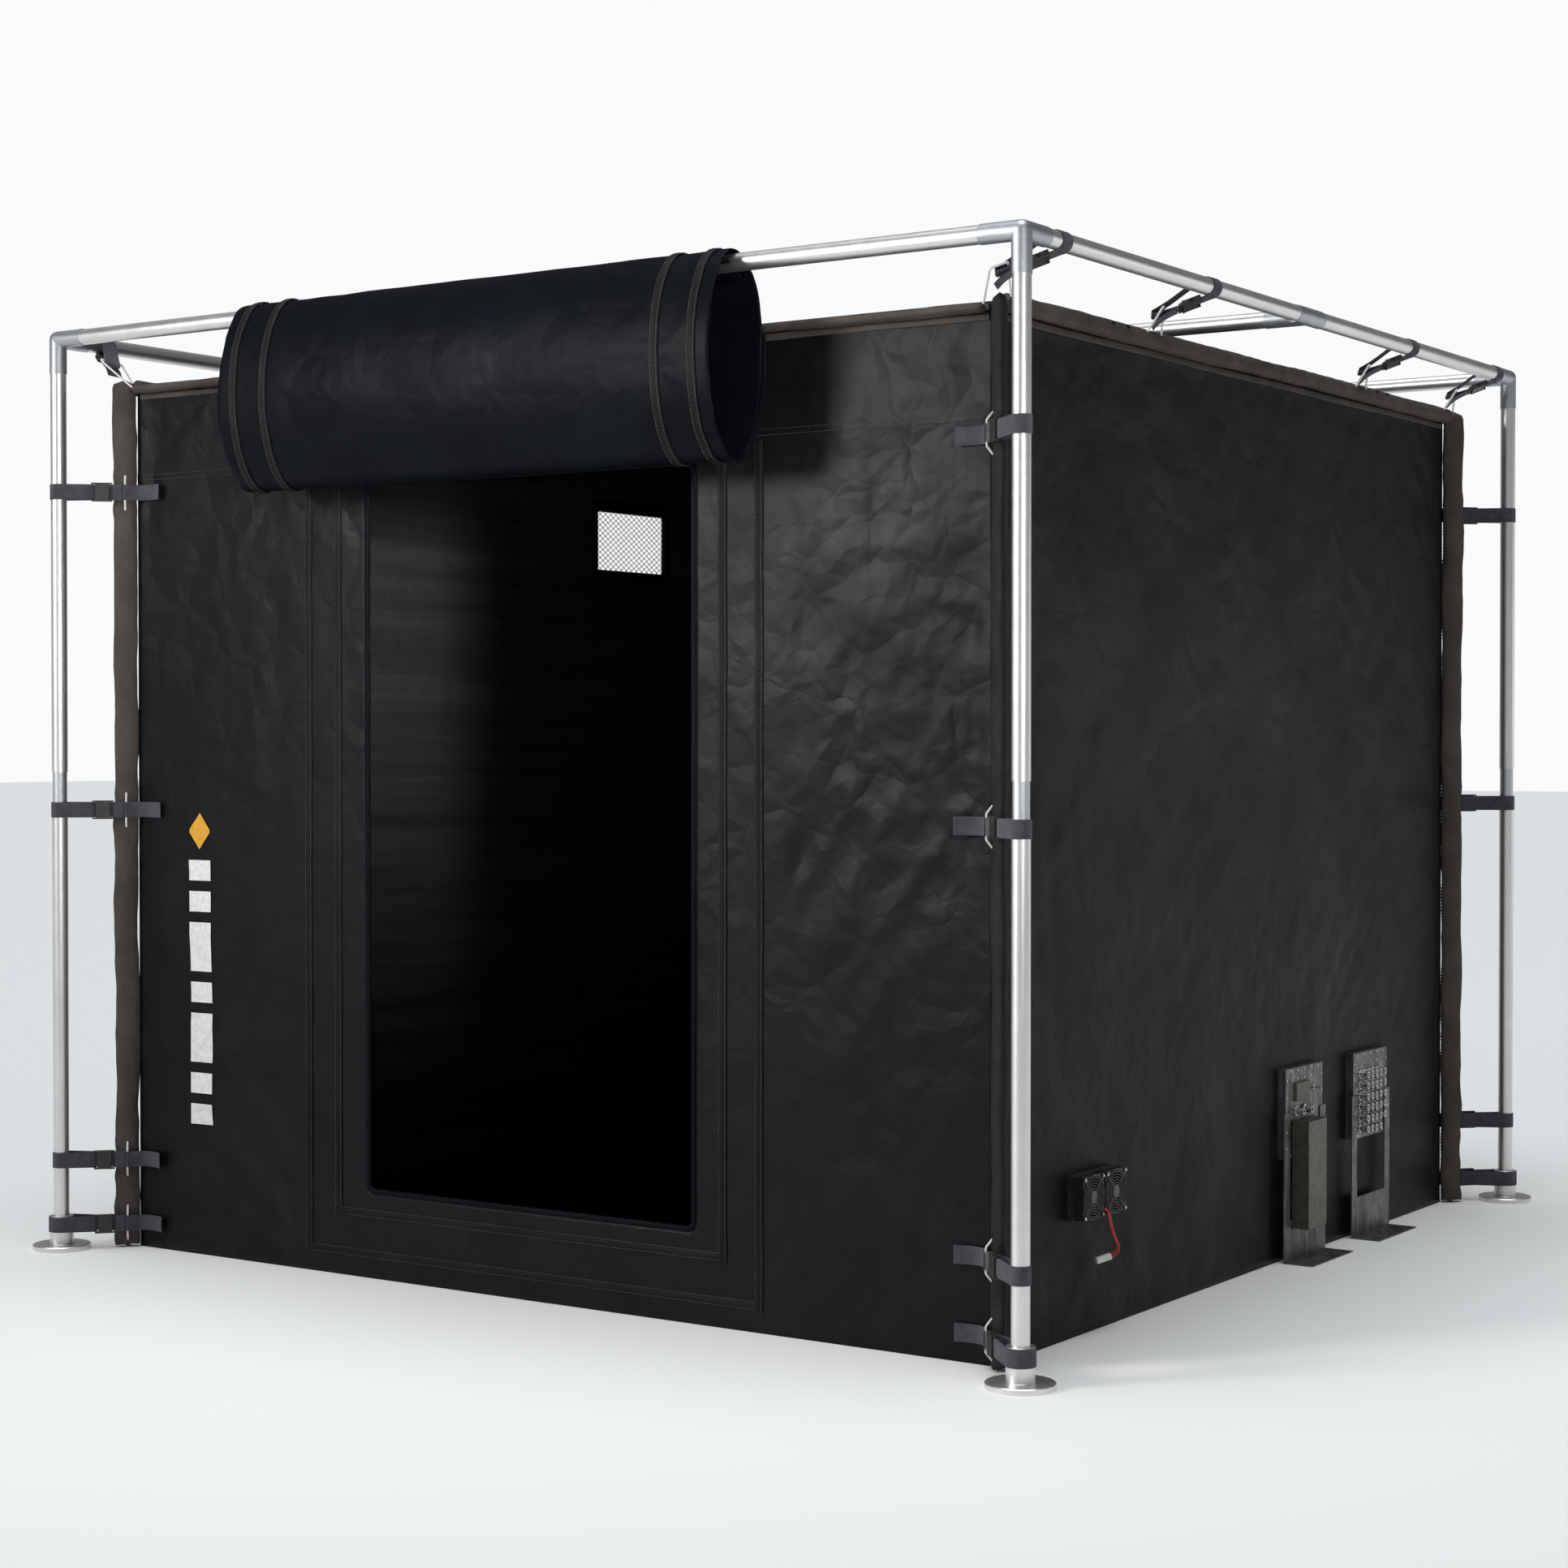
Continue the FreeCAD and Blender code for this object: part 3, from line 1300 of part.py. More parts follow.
def rail_frame():
    """Strap frame at the middle of the right rail: X slopes down towards the top sleeve."""
    drop = math.radians(size("rail_drop"))
    along = Vector(-math.cos(drop), 0, -math.sin(drop))
    outer = Vector(math.sin(drop), 0, -math.cos(drop))
    middle = Vector(size("post_offset"), 0, size("rail_height"))
    return Placement(middle, Rotation(along, outer, along.cross(outer)))


def fold(offset):
    """Far strand of a rail strap, its fold, and the strand that comes back to the plug."""
    middle = Vector(size("rail_fold"), size("rail_fold_rise"), 0)
    radius = size("fold_radius")
    turn = [middle + Vector(math.sin(angle), -math.cos(angle), 0) * radius
            for angle in (math.radians(degrees) for degrees in range(0, 181, 30))]
    lead = size("web_half") - size("bight_radius")
    start = [Vector(-lead, -offset, 0), Vector(lead, -offset, 0)]
    return strand(start + turn + [Vector(plug_end(size("rail_buckle")), offset, 0)])


def slanted(shape, angle):
    """Turned in the plane of the webbing, towards +Z."""
    return moved(shape, Placement(Vector(), Rotation(Vector(0, 1, 0), -angle)))


def rail_webbing(offset):
    """Webbing of a rail strap: slanting loop with its fold, and the loose tail."""
    half = size("web_half")
    lift = size("web_thick") + 2 * size("web_gap")
    tilt = size("rail_tilt")
    beyond = plain_box((-4 * half, -4 * half, -4 * half), (0, 4 * half, 4 * half))
    near = near_strand(offset, size("rail_buckle"))
    skin = size("web_thick") / 2
    near.append(plain_box((-half, offset - skin, -half), (half, offset + skin, half)))
    sloped = [slanted(piece, tilt).cut(beyond) for piece in near + [fold(offset)]]
    start = plug_end(size("rail_buckle")) + size("bight_radius")
    tail = strand([Vector(), Vector(size("bight_radius") + half, 0, 0),
                   Vector(size("rail_tail"), half / 2, 0)])
    hung = slanted(slanted(tail, -size("tail_swing")).translated(Vector(start, offset + lift, 0)), tilt)
    return [joined("tube_radius", sloped), hung]


def rail_straps(parts):
    """Eight straps from the side rails to the top sleeves, slanting towards the front."""
    offset = web_offset("tube_radius")
    tilt = size("rail_tilt")
    frame = rail_frame()
    slant = Placement(Vector(), Rotation(Vector(0, 1, 0), -tilt))
    webbing = [moved(piece, frame) for piece in rail_webbing(offset)]
    level = buckle_shapes(offset, size("rail_buckle"))
    socket, plug = (moved(slanted(shape, tilt), frame) for shape in level)
    for place in RAIL_STRAP_PLACES:
        loop = rail_cord(frame.multiply(slant), place)
        for side in (1, -1):
            shift = Vector(0, place, 0)
            parts.webbing += [mirrored(piece.translated(shift), side, 1) for piece in webbing]
            parts.sockets.append(mirrored(socket.translated(shift), side, 1))
            parts.plugs.append(mirrored(plug.translated(shift), side, 1))
            parts.cords.append(mirrored(loop, side, 1))


def rail_cord(frame, place):
    """Loop of cord on the right side: out of the top sleeve, inside the webbing's fold and back."""
    middle = total("tent_half edge_gap edge_reach")
    slope = math.radians(40)
    out = middle + (size("edge_reach") - size("sleeve_wall")) * math.cos(slope)
    rise = (size("edge_thick") - size("sleeve_wall")) * math.sin(slope)
    hole = Vector(out, 0, total("tent_height -edge_drop") + rise)
    inside = size("rail_fold_rise") - size("fold_radius") / 2
    crest = [frame.multVec(Vector(size("rail_reach"), inside, side * size("cord_bend"))) + Vector(0, place, 0)
             for side in (1, -1)]
    drift = place - size("rail_reach") * math.sin(math.radians(size("rail_tilt")))
    legs = [[hole + Vector(0, drift + side * size("rail_cord_spread"), 0)] for side in (-1, 1)]
    if legs[0][0].y < -size("edge_half"):
        end = size("edge_half") - size("screw_length")
        rise = (size("slack_thick") - size("sleeve_wall")) * math.sin(slope)
        start = Vector(end, -out, total("tent_height -slack_drop") + rise)
        beyond = size("rail_fold") + size("disc_bevel") + size("rail_fold_rise")
        past = frame.multVec(Vector(beyond, inside, size("cord_bend"))) + Vector(0, place, 0)
        legs = [[start, past], [hole - Vector(0, end, 0)]]
    solid, radii, length = cord(legs[0] + crest + legs[1], size("cord_radius"), size("cord_turn"))
    print("rail cord length %.1f" % length, "bends", ["%.1f" % radius for radius in radii])
    return solid


def straps():
    parts = StrapParts()
    post_straps(parts)
    rail_straps(parts)
    copies("strap_webbing", parts.webbing)
    copies("buckle_sockets", parts.sockets)
    copies("buckle_plugs", parts.plugs)
    copies("shock_cords", parts.cords)


# ---------------------------------------------------------------- build, test and write

def faults():
    """Names of failed objects and of nodes whose shape is missing or not valid."""
    bad = [thing.Name for thing in doc.Objects if "Invalid" in thing.State or "Error" in thing.State]
    for label, thing in nodes.items():
        if thing.Shape.isNull() or not thing.Shape.isValid() or not thing.Shape.Solids:
            bad.append(label)
    return bad


def build():
    posts_and_feet()
    spigots()
    elbows()
    rails()
    node("rail_tees", together("rail_tees", [tee("tee_left", -1), tee("tee_right", 1)]))
    cloth_panels()
    seal_strips()
    sleeves_and_rods()
    door_flap()
    vent()
    fans()
    fan_leads()
    panels()
    mains_filter()
    outlet_cover()
    conduit_fittings()
    coax_jacks()
    machine_screws()
    straps()
    doc.recompute()


build()
wrong = faults()
if wrong:
    print("failed:", wrong)
    sys.exit(1)
os.makedirs("parts", exist_ok=True)
for label, thing in nodes.items():
    thing.Shape.exportStep(os.path.join("parts", label + ".step"))
print(len(nodes), "nodes written")
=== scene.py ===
import math
import random

import bpy
from mathutils import Matrix, Vector, noise


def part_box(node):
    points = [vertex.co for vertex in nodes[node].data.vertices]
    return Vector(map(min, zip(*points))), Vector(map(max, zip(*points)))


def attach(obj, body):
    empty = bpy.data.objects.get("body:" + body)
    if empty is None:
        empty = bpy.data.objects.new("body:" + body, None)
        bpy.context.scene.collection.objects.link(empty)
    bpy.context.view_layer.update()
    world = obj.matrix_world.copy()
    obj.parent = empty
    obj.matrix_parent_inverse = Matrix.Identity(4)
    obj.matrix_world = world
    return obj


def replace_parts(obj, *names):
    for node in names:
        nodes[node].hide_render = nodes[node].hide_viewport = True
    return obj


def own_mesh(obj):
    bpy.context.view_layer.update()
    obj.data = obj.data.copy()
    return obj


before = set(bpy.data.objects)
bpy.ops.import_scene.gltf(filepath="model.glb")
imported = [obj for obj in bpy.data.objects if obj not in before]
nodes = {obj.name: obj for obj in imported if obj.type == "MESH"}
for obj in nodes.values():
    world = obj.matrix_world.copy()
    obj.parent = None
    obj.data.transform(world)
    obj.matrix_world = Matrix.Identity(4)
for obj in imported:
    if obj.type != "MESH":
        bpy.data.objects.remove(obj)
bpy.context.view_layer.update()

# A shielding tent of black conductive cloth in a frame of aluminium tube. Metres, +Z up, doorway towards -Y.

seeded = random.Random(7)

TENT_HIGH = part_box("right_wall")[1]
HALF = TENT_HIGH.x                      # half the width of the tent body
TOP = TENT_HIGH.z                       # height of the tent body
CLOTH = 0.0016                          # thickness shown for cloth
FORWARD = Vector((0, -1, 0))            # out of the front wall
STRIPS_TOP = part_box("door_seal_strips")[1].z
BAND_HALF = 0.011                       # half the width of a seal strip
DOOR = {"left": -0.461, "right": 0.477, "bottom": 0.202, "top": 1.855, "round": 0.022}
SEAM_LEVEL = 1.905                      # seam across the front wall


# ---------------------------------------------------------------- materials

class Paint:
    """A node material under construction, with places given in metres."""

    def __init__(self, name, colour, roughness, metallic=0.0, specular=0.5, sheen=0.0):
        self.material = bpy.data.materials.new(name)
        self.material.use_nodes = True
        self.tree = self.material.node_tree
        self.shader = self.tree.nodes["Principled BSDF"]
        self.shader.inputs["Base Color"].default_value = (*colour, 1)
        self.shader.inputs["Roughness"].default_value = roughness
        self.shader.inputs["Metallic"].default_value = metallic
        self.shader.inputs["Specular IOR Level"].default_value = specular
        self.shader.inputs["Sheen Weight"].default_value = sheen
        coordinates = self.tree.nodes.new("ShaderNodeTexCoord")
        self.place = coordinates.outputs["Object"]
        self.measure = coordinates.outputs["UV"]
        self.normal = None

    def node(self, kind, links, **values):
        """A texture node with its inputs linked or set."""
        node = self.tree.nodes.new(kind)
        for key, value in values.items():
            node.inputs[key.replace("_", " ")].default_value = value
        for key, source in links.items():
            self.tree.links.new(source, node.inputs[key])
        return node

    def stretched(self, x, y, z):
        """Coordinates with each axis scaled."""
        mapping = self.node("ShaderNodeMapping", {"Vector": self.place}, Scale=(x, y, z))
        return mapping.outputs["Vector"]

    def clouds(self, scale, detail=4.0, rough=0.55, bend=0.0, at=None):
        """Soft noise from 0 to 1."""
        texture = self.node("ShaderNodeTexNoise", {"Vector": at or self.place}, Scale=scale, Detail=detail,
                            Roughness=rough, Distortion=bend)
        return texture.outputs["Fac"]

    def wandering(self, amount, scale):
        """Coordinates pushed about by smooth noise."""
        drift = self.node("ShaderNodeTexNoise", {"Vector": self.place}, Scale=scale, Detail=2.0)
        moved = self.node("ShaderNodeVectorMath", {0: drift.outputs["Color"], 2: self.place})
        moved.operation = "MULTIPLY_ADD"
        moved.inputs[1].default_value = (amount, amount, amount)
        return moved.outputs["Vector"]

    def facets(self, scale, at):
        """Flat facets that meet in sharp creases, as in crushed paper."""
        return self.cells(scale, at, "DISTANCE_TO_EDGE")

    def cells(self, scale, at=None, feature="F1"):
        """Distance inside small cells, each with a centre of its own."""
        texture = self.node("ShaderNodeTexVoronoi", {"Vector": at or self.place}, Scale=scale)
        texture.feature = feature
        return texture.outputs["Distance"]

    def ridges(self, scale, detail):
        """Sharp crests that wander and meet, like creases in handled cloth."""
        texture = self.node("ShaderNodeTexNoise", {"Vector": self.place}, Scale=scale, Detail=detail)
        texture.noise_type = "RIDGED_MULTIFRACTAL"
        texture.normalize = True
        return texture.outputs["Fac"]

    def ribs(self, scale, axis):
        """Ribs along or across a strap, by its own measure."""
        texture = self.node("ShaderNodeTexWave", {"Vector": self.measure}, Scale=scale)
        texture.bands_direction = axis
        return texture.outputs["Fac"]

    def spread(self, source, low, high, start, end):
        """The source's middle part stretched to run from low to high."""
        node = self.tree.nodes.new("ShaderNodeMapRange")
        for key, value in (("From Min", start), ("From Max", end), ("To Min", low), ("To Max", high)):
            node.inputs[key].default_value = value
        self.tree.links.new(source, node.inputs["Value"])
        return node.outputs["Result"]

    def colour(self, source, dark, light, start=0.3, end=0.7):
        """Base colour that runs from dark to light with the source's middle part."""
        mix = self.tree.nodes.new("ShaderNodeMix")
        mix.data_type = "RGBA"
        self.tree.links.new(self.spread(source, 0, 1, start, end), mix.inputs["Factor"])
        for key, value in (("A", dark), ("B", light)):
            sockets = [one for one in mix.inputs if one.name == key and one.type == "RGBA"]
            sockets[0].default_value = (*value, 1)
        output = next(one for one in mix.outputs if one.type == "RGBA")
        self.tree.links.new(output, self.shader.inputs["Base Color"])

    def roughness(self, source, low, high, start=0.3, end=0.7):
        """Roughness that runs from low to high with the source's middle part."""
        self.tree.links.new(self.spread(source, low, high, start, end), self.shader.inputs["Roughness"])

    def bump(self, source, depth):
        """Relief of the given depth in metres, on top of any laid before it."""
        bump = self.tree.nodes.new("ShaderNodeBump")
        bump.inputs["Strength"].default_value = 1.0
        bump.inputs["Distance"].default_value = depth
        self.tree.links.new(source, bump.inputs["Height"])
        if self.normal is not None:
            self.tree.links.new(self.normal, bump.inputs["Normal"])
        self.normal = bump.outputs["Normal"]
        self.tree.links.new(self.normal, self.shader.inputs["Normal"])


def cloth_paint(name, dark, light, low_rough, high_rough, crease, specular=0.10):
    """Coated cloth: crumple creases, a fine weave and patches of different gloss."""
    paint = Paint(name, dark, high_rough, specular=specular)
    paint.colour(paint.clouds(5.0, 3.0, 0.6, 0.8), dark, light)
    paint.roughness(paint.clouds(3.2, 5.0, 0.6, 0.5), low_rough, high_rough)
    bent = paint.wandering(0.16, 5.0)
    paint.bump(paint.facets(6.5, bent), crease * 1.7)
    paint.bump(paint.facets(15.0, paint.wandering(0.09, 8.0)), crease * 0.55)
    paint.bump(paint.ridges(7.0, 4.0), crease * 0.6)
    paint.bump(paint.clouds(900.0, 2.0), 0.0002)
    return paint.material


def inner_paint():
    """Grey cloth that hangs in level creases, with a painted highlight along their crests."""
    paint = Paint("inner_cloth", (0.03, 0.03, 0.03), 0.5, specular=0.2)
    level = paint.clouds(1.0, 3.0, 0.55, 0.3, at=paint.stretched(0.7, 0.7, 16.0))
    # Painted highlight and shade: the base colour follows the crease height, so crests are painted paler as
    # if lit and the hollows darker.
    paint.colour(level, (0.026, 0.026, 0.026), (0.062, 0.062, 0.061), 0.30, 0.70)
    paint.roughness(paint.clouds(4.0, 4.0), 0.42, 0.56)
    paint.bump(level, 0.016)
    paint.bump(paint.facets(9.0, paint.wandering(0.16, 5.0)), 0.006)
    return paint.material


def sleeve_paint(name, dark, light):
    """Matt heavy cloth with a plain weave."""
    paint = Paint(name, dark, 0.72, specular=0.2)
    paint.colour(paint.clouds(11.0, 5.0, 0.6), dark, light)
    paint.roughness(paint.clouds(30.0), 0.6, 0.85)
    paint.bump(paint.clouds(26.0, 4.0, 0.5, 1.0), 0.003)
    paint.bump(paint.cells(480.0), 0.0004)
    return paint.material


def stitch_paint():
    """Brown thread, darker and paler along its length."""
    paint = Paint("thread", (0.16, 0.13, 0.10), 0.6, specular=0.3)
    paint.colour(paint.clouds(60.0), (0.026, 0.022, 0.019), (0.085, 0.069, 0.055))
    paint.bump(paint.clouds(1500.0, 2.0), 0.0002)
    return paint.material


def tube_paint():
    """Satin anodised aluminium with faint handling marks."""
    paint = Paint("tube_metal", (0.78, 0.775, 0.765), 0.36, metallic=1.0)
    paint.colour(paint.clouds(7.0, 5.0, 0.6), (0.76, 0.755, 0.745), (0.85, 0.845, 0.835))
    paint.roughness(paint.clouds(45.0, 4.0, 0.6), 0.37, 0.43)
    paint.bump(paint.clouds(1200.0, 2.0), 0.00001)
    return paint.material


def brushed_paint(name, dark, light, along):
    """Brushed aluminium: fine marks round the axis that along stretches."""
    paint = Paint(name, dark, 0.4, metallic=1.0)
    marks = paint.clouds(1.0, 4.0, 0.7, at=paint.stretched(*along))
    paint.colour(marks, dark, light, 0.25, 0.75)
    paint.roughness(marks, 0.34, 0.56, 0.25, 0.75)
    paint.bump(marks, 0.0004)
    return paint.material


def galvanised_paint():
    """Aged galvanised sheet: spangle, dark vertical streaks and dull patches."""
    paint = Paint("galvanised", (0.33, 0.34, 0.34), 0.42, metallic=0.9)
    streaks = paint.clouds(1.0, 6.0, 0.65, 0.4, at=paint.stretched(60, 60, 7))
    paint.colour(streaks, (0.045, 0.048, 0.045), (0.27, 0.275, 0.265), 0.28, 0.72)
    paint.roughness(paint.clouds(34.0, 4.0), 0.28, 0.62)
    paint.bump(paint.cells(110.0), 0.0003)
    paint.bump(streaks, 0.0006)
    return paint.material


def plastic_paint(name, dark, light, roughness, specular=0.4):
    """Moulded plastic with a fine grain and slightly uneven gloss."""
    paint = Paint(name, dark, roughness, specular=specular)
    paint.colour(paint.clouds(38.0, 4.0), dark, light)
    paint.roughness(paint.clouds(60.0, 3.0), roughness - 0.08, roughness + 0.1)
    paint.bump(paint.clouds(900.0, 2.0), 0.00012)
    return paint.material


def metal_paint(name, dark, light, roughness):
    """Plain metal with uneven gloss."""
    paint = Paint(name, dark, roughness, metallic=1.0)
    paint.colour(paint.clouds(70.0, 4.0), dark, light)
    paint.roughness(paint.clouds(140.0, 3.0), roughness - 0.07, roughness + 0.12)
    paint.bump(paint.clouds(630.0, 2.0), 0.00008)
    return paint.material


def webbing_paint():
    """Polyester webbing: ribs along its length and a cross weave."""
    paint = Paint("webbing", (0.055, 0.055, 0.075), 0.78, specular=0.25, sheen=0.25)
    paint.colour(paint.clouds(55.0, 4.0), (0.040, 0.040, 0.056), (0.078, 0.076, 0.100))
    paint.roughness(paint.clouds(80.0), 0.68, 0.88)
    paint.bump(paint.ribs(240.0, "Y"), 0.0005)
    paint.bump(paint.ribs(330.0, "X"), 0.0003)
    return paint.material


def cord_paint():
    """Braided white elastic cord."""
    paint = Paint("shock_cord", (0.80, 0.80, 0.78), 0.6, specular=0.3, sheen=0.2)
    paint.colour(paint.cells(520.0), (0.62, 0.62, 0.60), (0.86, 0.86, 0.84), 0.2, 0.8)
    paint.bump(paint.cells(520.0), 0.0005)
    return paint.material


def print_paint(name, colour):
    """Printed mark: slightly worn ink that shows the cloth's grain."""
    paint = Paint(name, colour, 0.55, specular=0.3)
    worn = tuple(part * 0.72 for part in colour)
    paint.colour(paint.clouds(90.0, 5.0, 0.65), worn, colour, 0.25, 0.6)
    paint.bump(paint.clouds(900.0, 2.0), 0.0002)
    return paint.material


BLACK_CLOTH = cloth_paint("tent_cloth", (0.0055, 0.0060, 0.0068), (0.0090, 0.0096, 0.0108),
                          0.30, 0.46, crease=0.0034)
SIDE_CLOTH = cloth_paint("side_cloth", (0.0060, 0.0060, 0.0058), (0.0095, 0.0095, 0.0090),
                         0.36, 0.52, crease=0.0028)
ROLL_CLOTH = cloth_paint("roll_cloth", (0.0030, 0.0036, 0.0054), (0.0048, 0.0060, 0.0088),
                         0.34, 0.46, crease=0.0034, specular=0.035)
STRIP_CLOTH = cloth_paint("strip_cloth", (0.0060, 0.0060, 0.0066), (0.0110, 0.0110, 0.0120),
                          0.42, 0.6, crease=0.0015)
INNER_CLOTH = inner_paint()
SLEEVE_CLOTH = sleeve_paint("sleeve_cloth", (0.050, 0.042, 0.037), (0.082, 0.069, 0.061))
# Painted shade: a darker copy of the sleeve cloth for the sleeve that faces away from the light.
SHADED_SLEEVE = sleeve_paint("shaded_sleeve_cloth", (0.011, 0.0115, 0.013), (0.021, 0.021, 0.023))
THREAD = stitch_paint()
WEBBING = webbing_paint()
SHOCK_CORD = cord_paint()
GALVANISED = galvanised_paint()
FITTING = brushed_paint("fitting_metal", (0.37, 0.395, 0.425), (0.60, 0.62, 0.65), (35, 35, 900))
SPIGOT = brushed_paint("spigot_metal", (0.50, 0.52, 0.55), (0.72, 0.73, 0.76), (30, 30, 1100))
TUBE = tube_paint()
BUCKLE = plastic_paint("buckle_plastic", (0.020, 0.020, 0.018), (0.040, 0.038, 0.033), 0.42)
FAN_PLASTIC = plastic_paint("fan_plastic", (0.010, 0.010, 0.011), (0.020, 0.020, 0.021), 0.45)
PLENUM = plastic_paint("plenum_plastic", (0.020, 0.020, 0.020), (0.034, 0.034, 0.034), 0.5)
LEAD = plastic_paint("lead_insulation", (0.42, 0.012, 0.012), (0.55, 0.03, 0.025), 0.34, specular=0.5)
CONNECTOR = plastic_paint("connector_nylon", (0.62, 0.72, 0.60), (0.76, 0.82, 0.72), 0.45)
FILTER_CASE = metal_paint("filter_case", (0.125, 0.115, 0.098), (0.20, 0.19, 0.16), 0.46)
COVER = plastic_paint("outlet_paint", (0.070, 0.078, 0.048), (0.105, 0.115, 0.072), 0.4)
CONDUIT = metal_paint("zinc_plate", (0.38, 0.385, 0.39), (0.62, 0.62, 0.62), 0.34)
JACK = metal_paint("chrome_plate", (0.60, 0.61, 0.62), (0.80, 0.80, 0.80), 0.18)
SCREW = metal_paint("screw_steel", (0.55, 0.55, 0.54), (0.76, 0.76, 0.74), 0.3)
GUARD = metal_paint("guard_wire", (0.055, 0.055, 0.057), (0.125, 0.125, 0.128), 0.34)
ROD = plastic_paint("rod_fibre", (0.05, 0.05, 0.052), (0.08, 0.08, 0.082), 0.5)
VENT_WIRE = plastic_paint("vent_wire", (0.012, 0.012, 0.012), (0.030, 0.030, 0.030), 0.5)
WHITE_INK = print_paint("white_ink", (0.80, 0.80, 0.79))
AMBER_INK = print_paint("amber_ink", (0.72, 0.36, 0.03))

NODE_PAINT = {
    "tube_spigots": SPIGOT, "corner_elbows": FITTING, "rail_tees": FITTING, "cross_tube": TUBE,
    "sleeve_rods": ROD, "strap_webbing": WEBBING, "shock_cords": SHOCK_CORD, "fan_plenum": PLENUM,
    "fan_frames": FAN_PLASTIC, "finger_guards": GUARD, "lead_connector": CONNECTOR,
    "power_panel": GALVANISED, "signal_panel": GALVANISED, "power_stand": GALVANISED,
    "signal_stand": GALVANISED, "backing_plates": GALVANISED, "mains_filter": FILTER_CASE,
    "outlet_cover": COVER, "conduit_fittings": CONDUIT, "coax_jacks": JACK, "machine_screws": SCREW,
}
PREFIX_PAINT = {"foot_": TUBE, "lower_post": TUBE, "upper_post": TUBE, "buckle": BUCKLE,
                "fan_impeller": FAN_PLASTIC}


def paint_nodes():
    """Gives each carried-over CAD node its material."""
    for name, node in nodes.items():
        paint = NODE_PAINT.get(name)
        for prefix, material in PREFIX_PAINT.items():
            if name.startswith(prefix):
                paint = material
        if name.endswith("_rail"):
            paint = TUBE
        if paint is not None:
            node.data.materials.clear()
            node.data.materials.append(paint)


# ---------------------------------------------------------------- shared mesh work

def new_object(name, data):
    """An object made from a mesh, curve, light or camera, placed in the scene."""
    made = bpy.data.objects.new(name, data)
    bpy.context.scene.collection.objects.link(made)
    return made


def mesh_piece(name, points, faces, material, body="frame", measure=None):
    """A smooth mesh piece that rides on a body; measure holds its material's distances along and across."""
    mesh = bpy.data.meshes.new(name)
    mesh.from_pydata([tuple(point) for point in points], [], faces)
    mesh.materials.append(material)
    mesh.polygons.foreach_set("use_smooth", [True] * len(mesh.polygons))
    if measure is not None:
        layer = mesh.uv_layers.new(name="measure")
        for loop in mesh.loops:
            layer.data[loop.index].uv = measure[loop.vertex_index]
    mesh.update()
    piece = new_object(name, mesh)
    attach(piece, body)
    return piece


def grid_faces(across, along, keep=None, wrap=False, loop=False):
    """Quads of a grid stored row by row; wrap joins the last column to the first, and loop the last row."""
    faces = []
    columns = across if wrap else across - 1
    rows = along if loop else along - 1
    for row in range(rows):
        here = row * across
        ahead = (row + 1) % along * across
        for column in range(columns):
            if keep is None or keep(column, row):
                beside = (column + 1) % across
                faces.append((here + column, here + beside, ahead + beside, ahead + column))
    return faces


def shifted(faces, start):
    """The same faces for points that begin at the index start."""
    return [tuple(start + index for index in face) for face in faces]


def angles_round(turns):
    """Evenly divided angles round a circle."""
    return [2 * math.pi * part / turns for part in range(turns)]


def tidy_loose(points, faces):
    """Drops the points that no face uses."""
    used = sorted({index for face in faces for index in face})
    place = {index: number for number, index in enumerate(used)}
    return [points[index] for index in used], [tuple(place[index] for index in face) for face in faces]


def thicken(piece, thickness, offset=0.0):
    """Gives a sheet its thickness; offset 0 is half to each side and 1 all outwards."""
    shell = piece.modifiers.new("cloth_thickness", "SOLIDIFY")
    shell.thickness = thickness
    shell.offset = offset
    return piece


def spaced(stops, step):
    """Evenly divided stretches between the given stops, so that each stop is a grid line."""
    values = [stops[0]]
    for start, end in zip(stops, stops[1:]):
        count = max(1, round((end - start) / step))
        values += [start + (end - start) * number / count for number in range(1, count + 1)]
    return values


def smooth_step(value, low, high):
    """0 below low, 1 above high and a smooth rise between them."""
    share = min(1.0, max(0.0, (value - low) / (high - low)))
    return share * share * (3 - 2 * share)


# ---------------------------------------------------------------- relief of the cloth walls

def turned(x, y, degrees):
    """Coordinates along and across a direction."""
    angle = math.radians(degrees)
    return x * math.cos(angle) + y * math.sin(angle), y * math.cos(angle) - x * math.sin(angle)


def soft_noise(x, y, z):
    """Smooth noise between -1 and 1 at a place."""
    return noise.noise(Vector((x, y, z)))


def creases(x, y, scale, seed):
    """Height from 0 to -1 with sharp valleys, like folds pressed into a sheet."""
    return -abs(soft_noise(x * scale, y * scale, seed) * 2)


def crumple(x, y, seed):
    """Relief of handled, coated cloth: soft swells, pressed creases and small dents."""
    drift_x = soft_noise(x * 1.4, y * 1.4, seed + 3.1) * 0.16
    drift_y = soft_noise(x * 1.4, y * 1.4, seed + 8.7) * 0.16
    x += drift_x
    y += drift_y
    swell = soft_noise(x * 1.7, y * 1.3, seed)
    patch = smooth_step(soft_noise(x * 1.1, y * 1.1, seed + 20), -0.15, 0.35)
    return (0.005 * swell + 0.0030 * creases(x, y, 3.6, seed + 1)
            + (0.0010 + 0.0016 * patch) * creases(x, y, 8.5, seed + 2)
            + (0.0004 + 0.0010 * patch) * creases(x, y, 17.0, seed + 4))


def long_folds(x, y, degrees, spacing, depth, seed):
    """Stretch folds in one direction, fading in and out."""
    along, across = turned(x, y, degrees)
    across += 0.05 * soft_noise(along * 1.5, across * 2, seed)
    strength = smooth_step(soft_noise(along * 1.2, across * 1.6, seed + 5), -0.1, 0.5)
    ridge = abs(soft_noise(along * 0.8, across / spacing, seed + 9)) * 2
    return -depth * strength * ridge


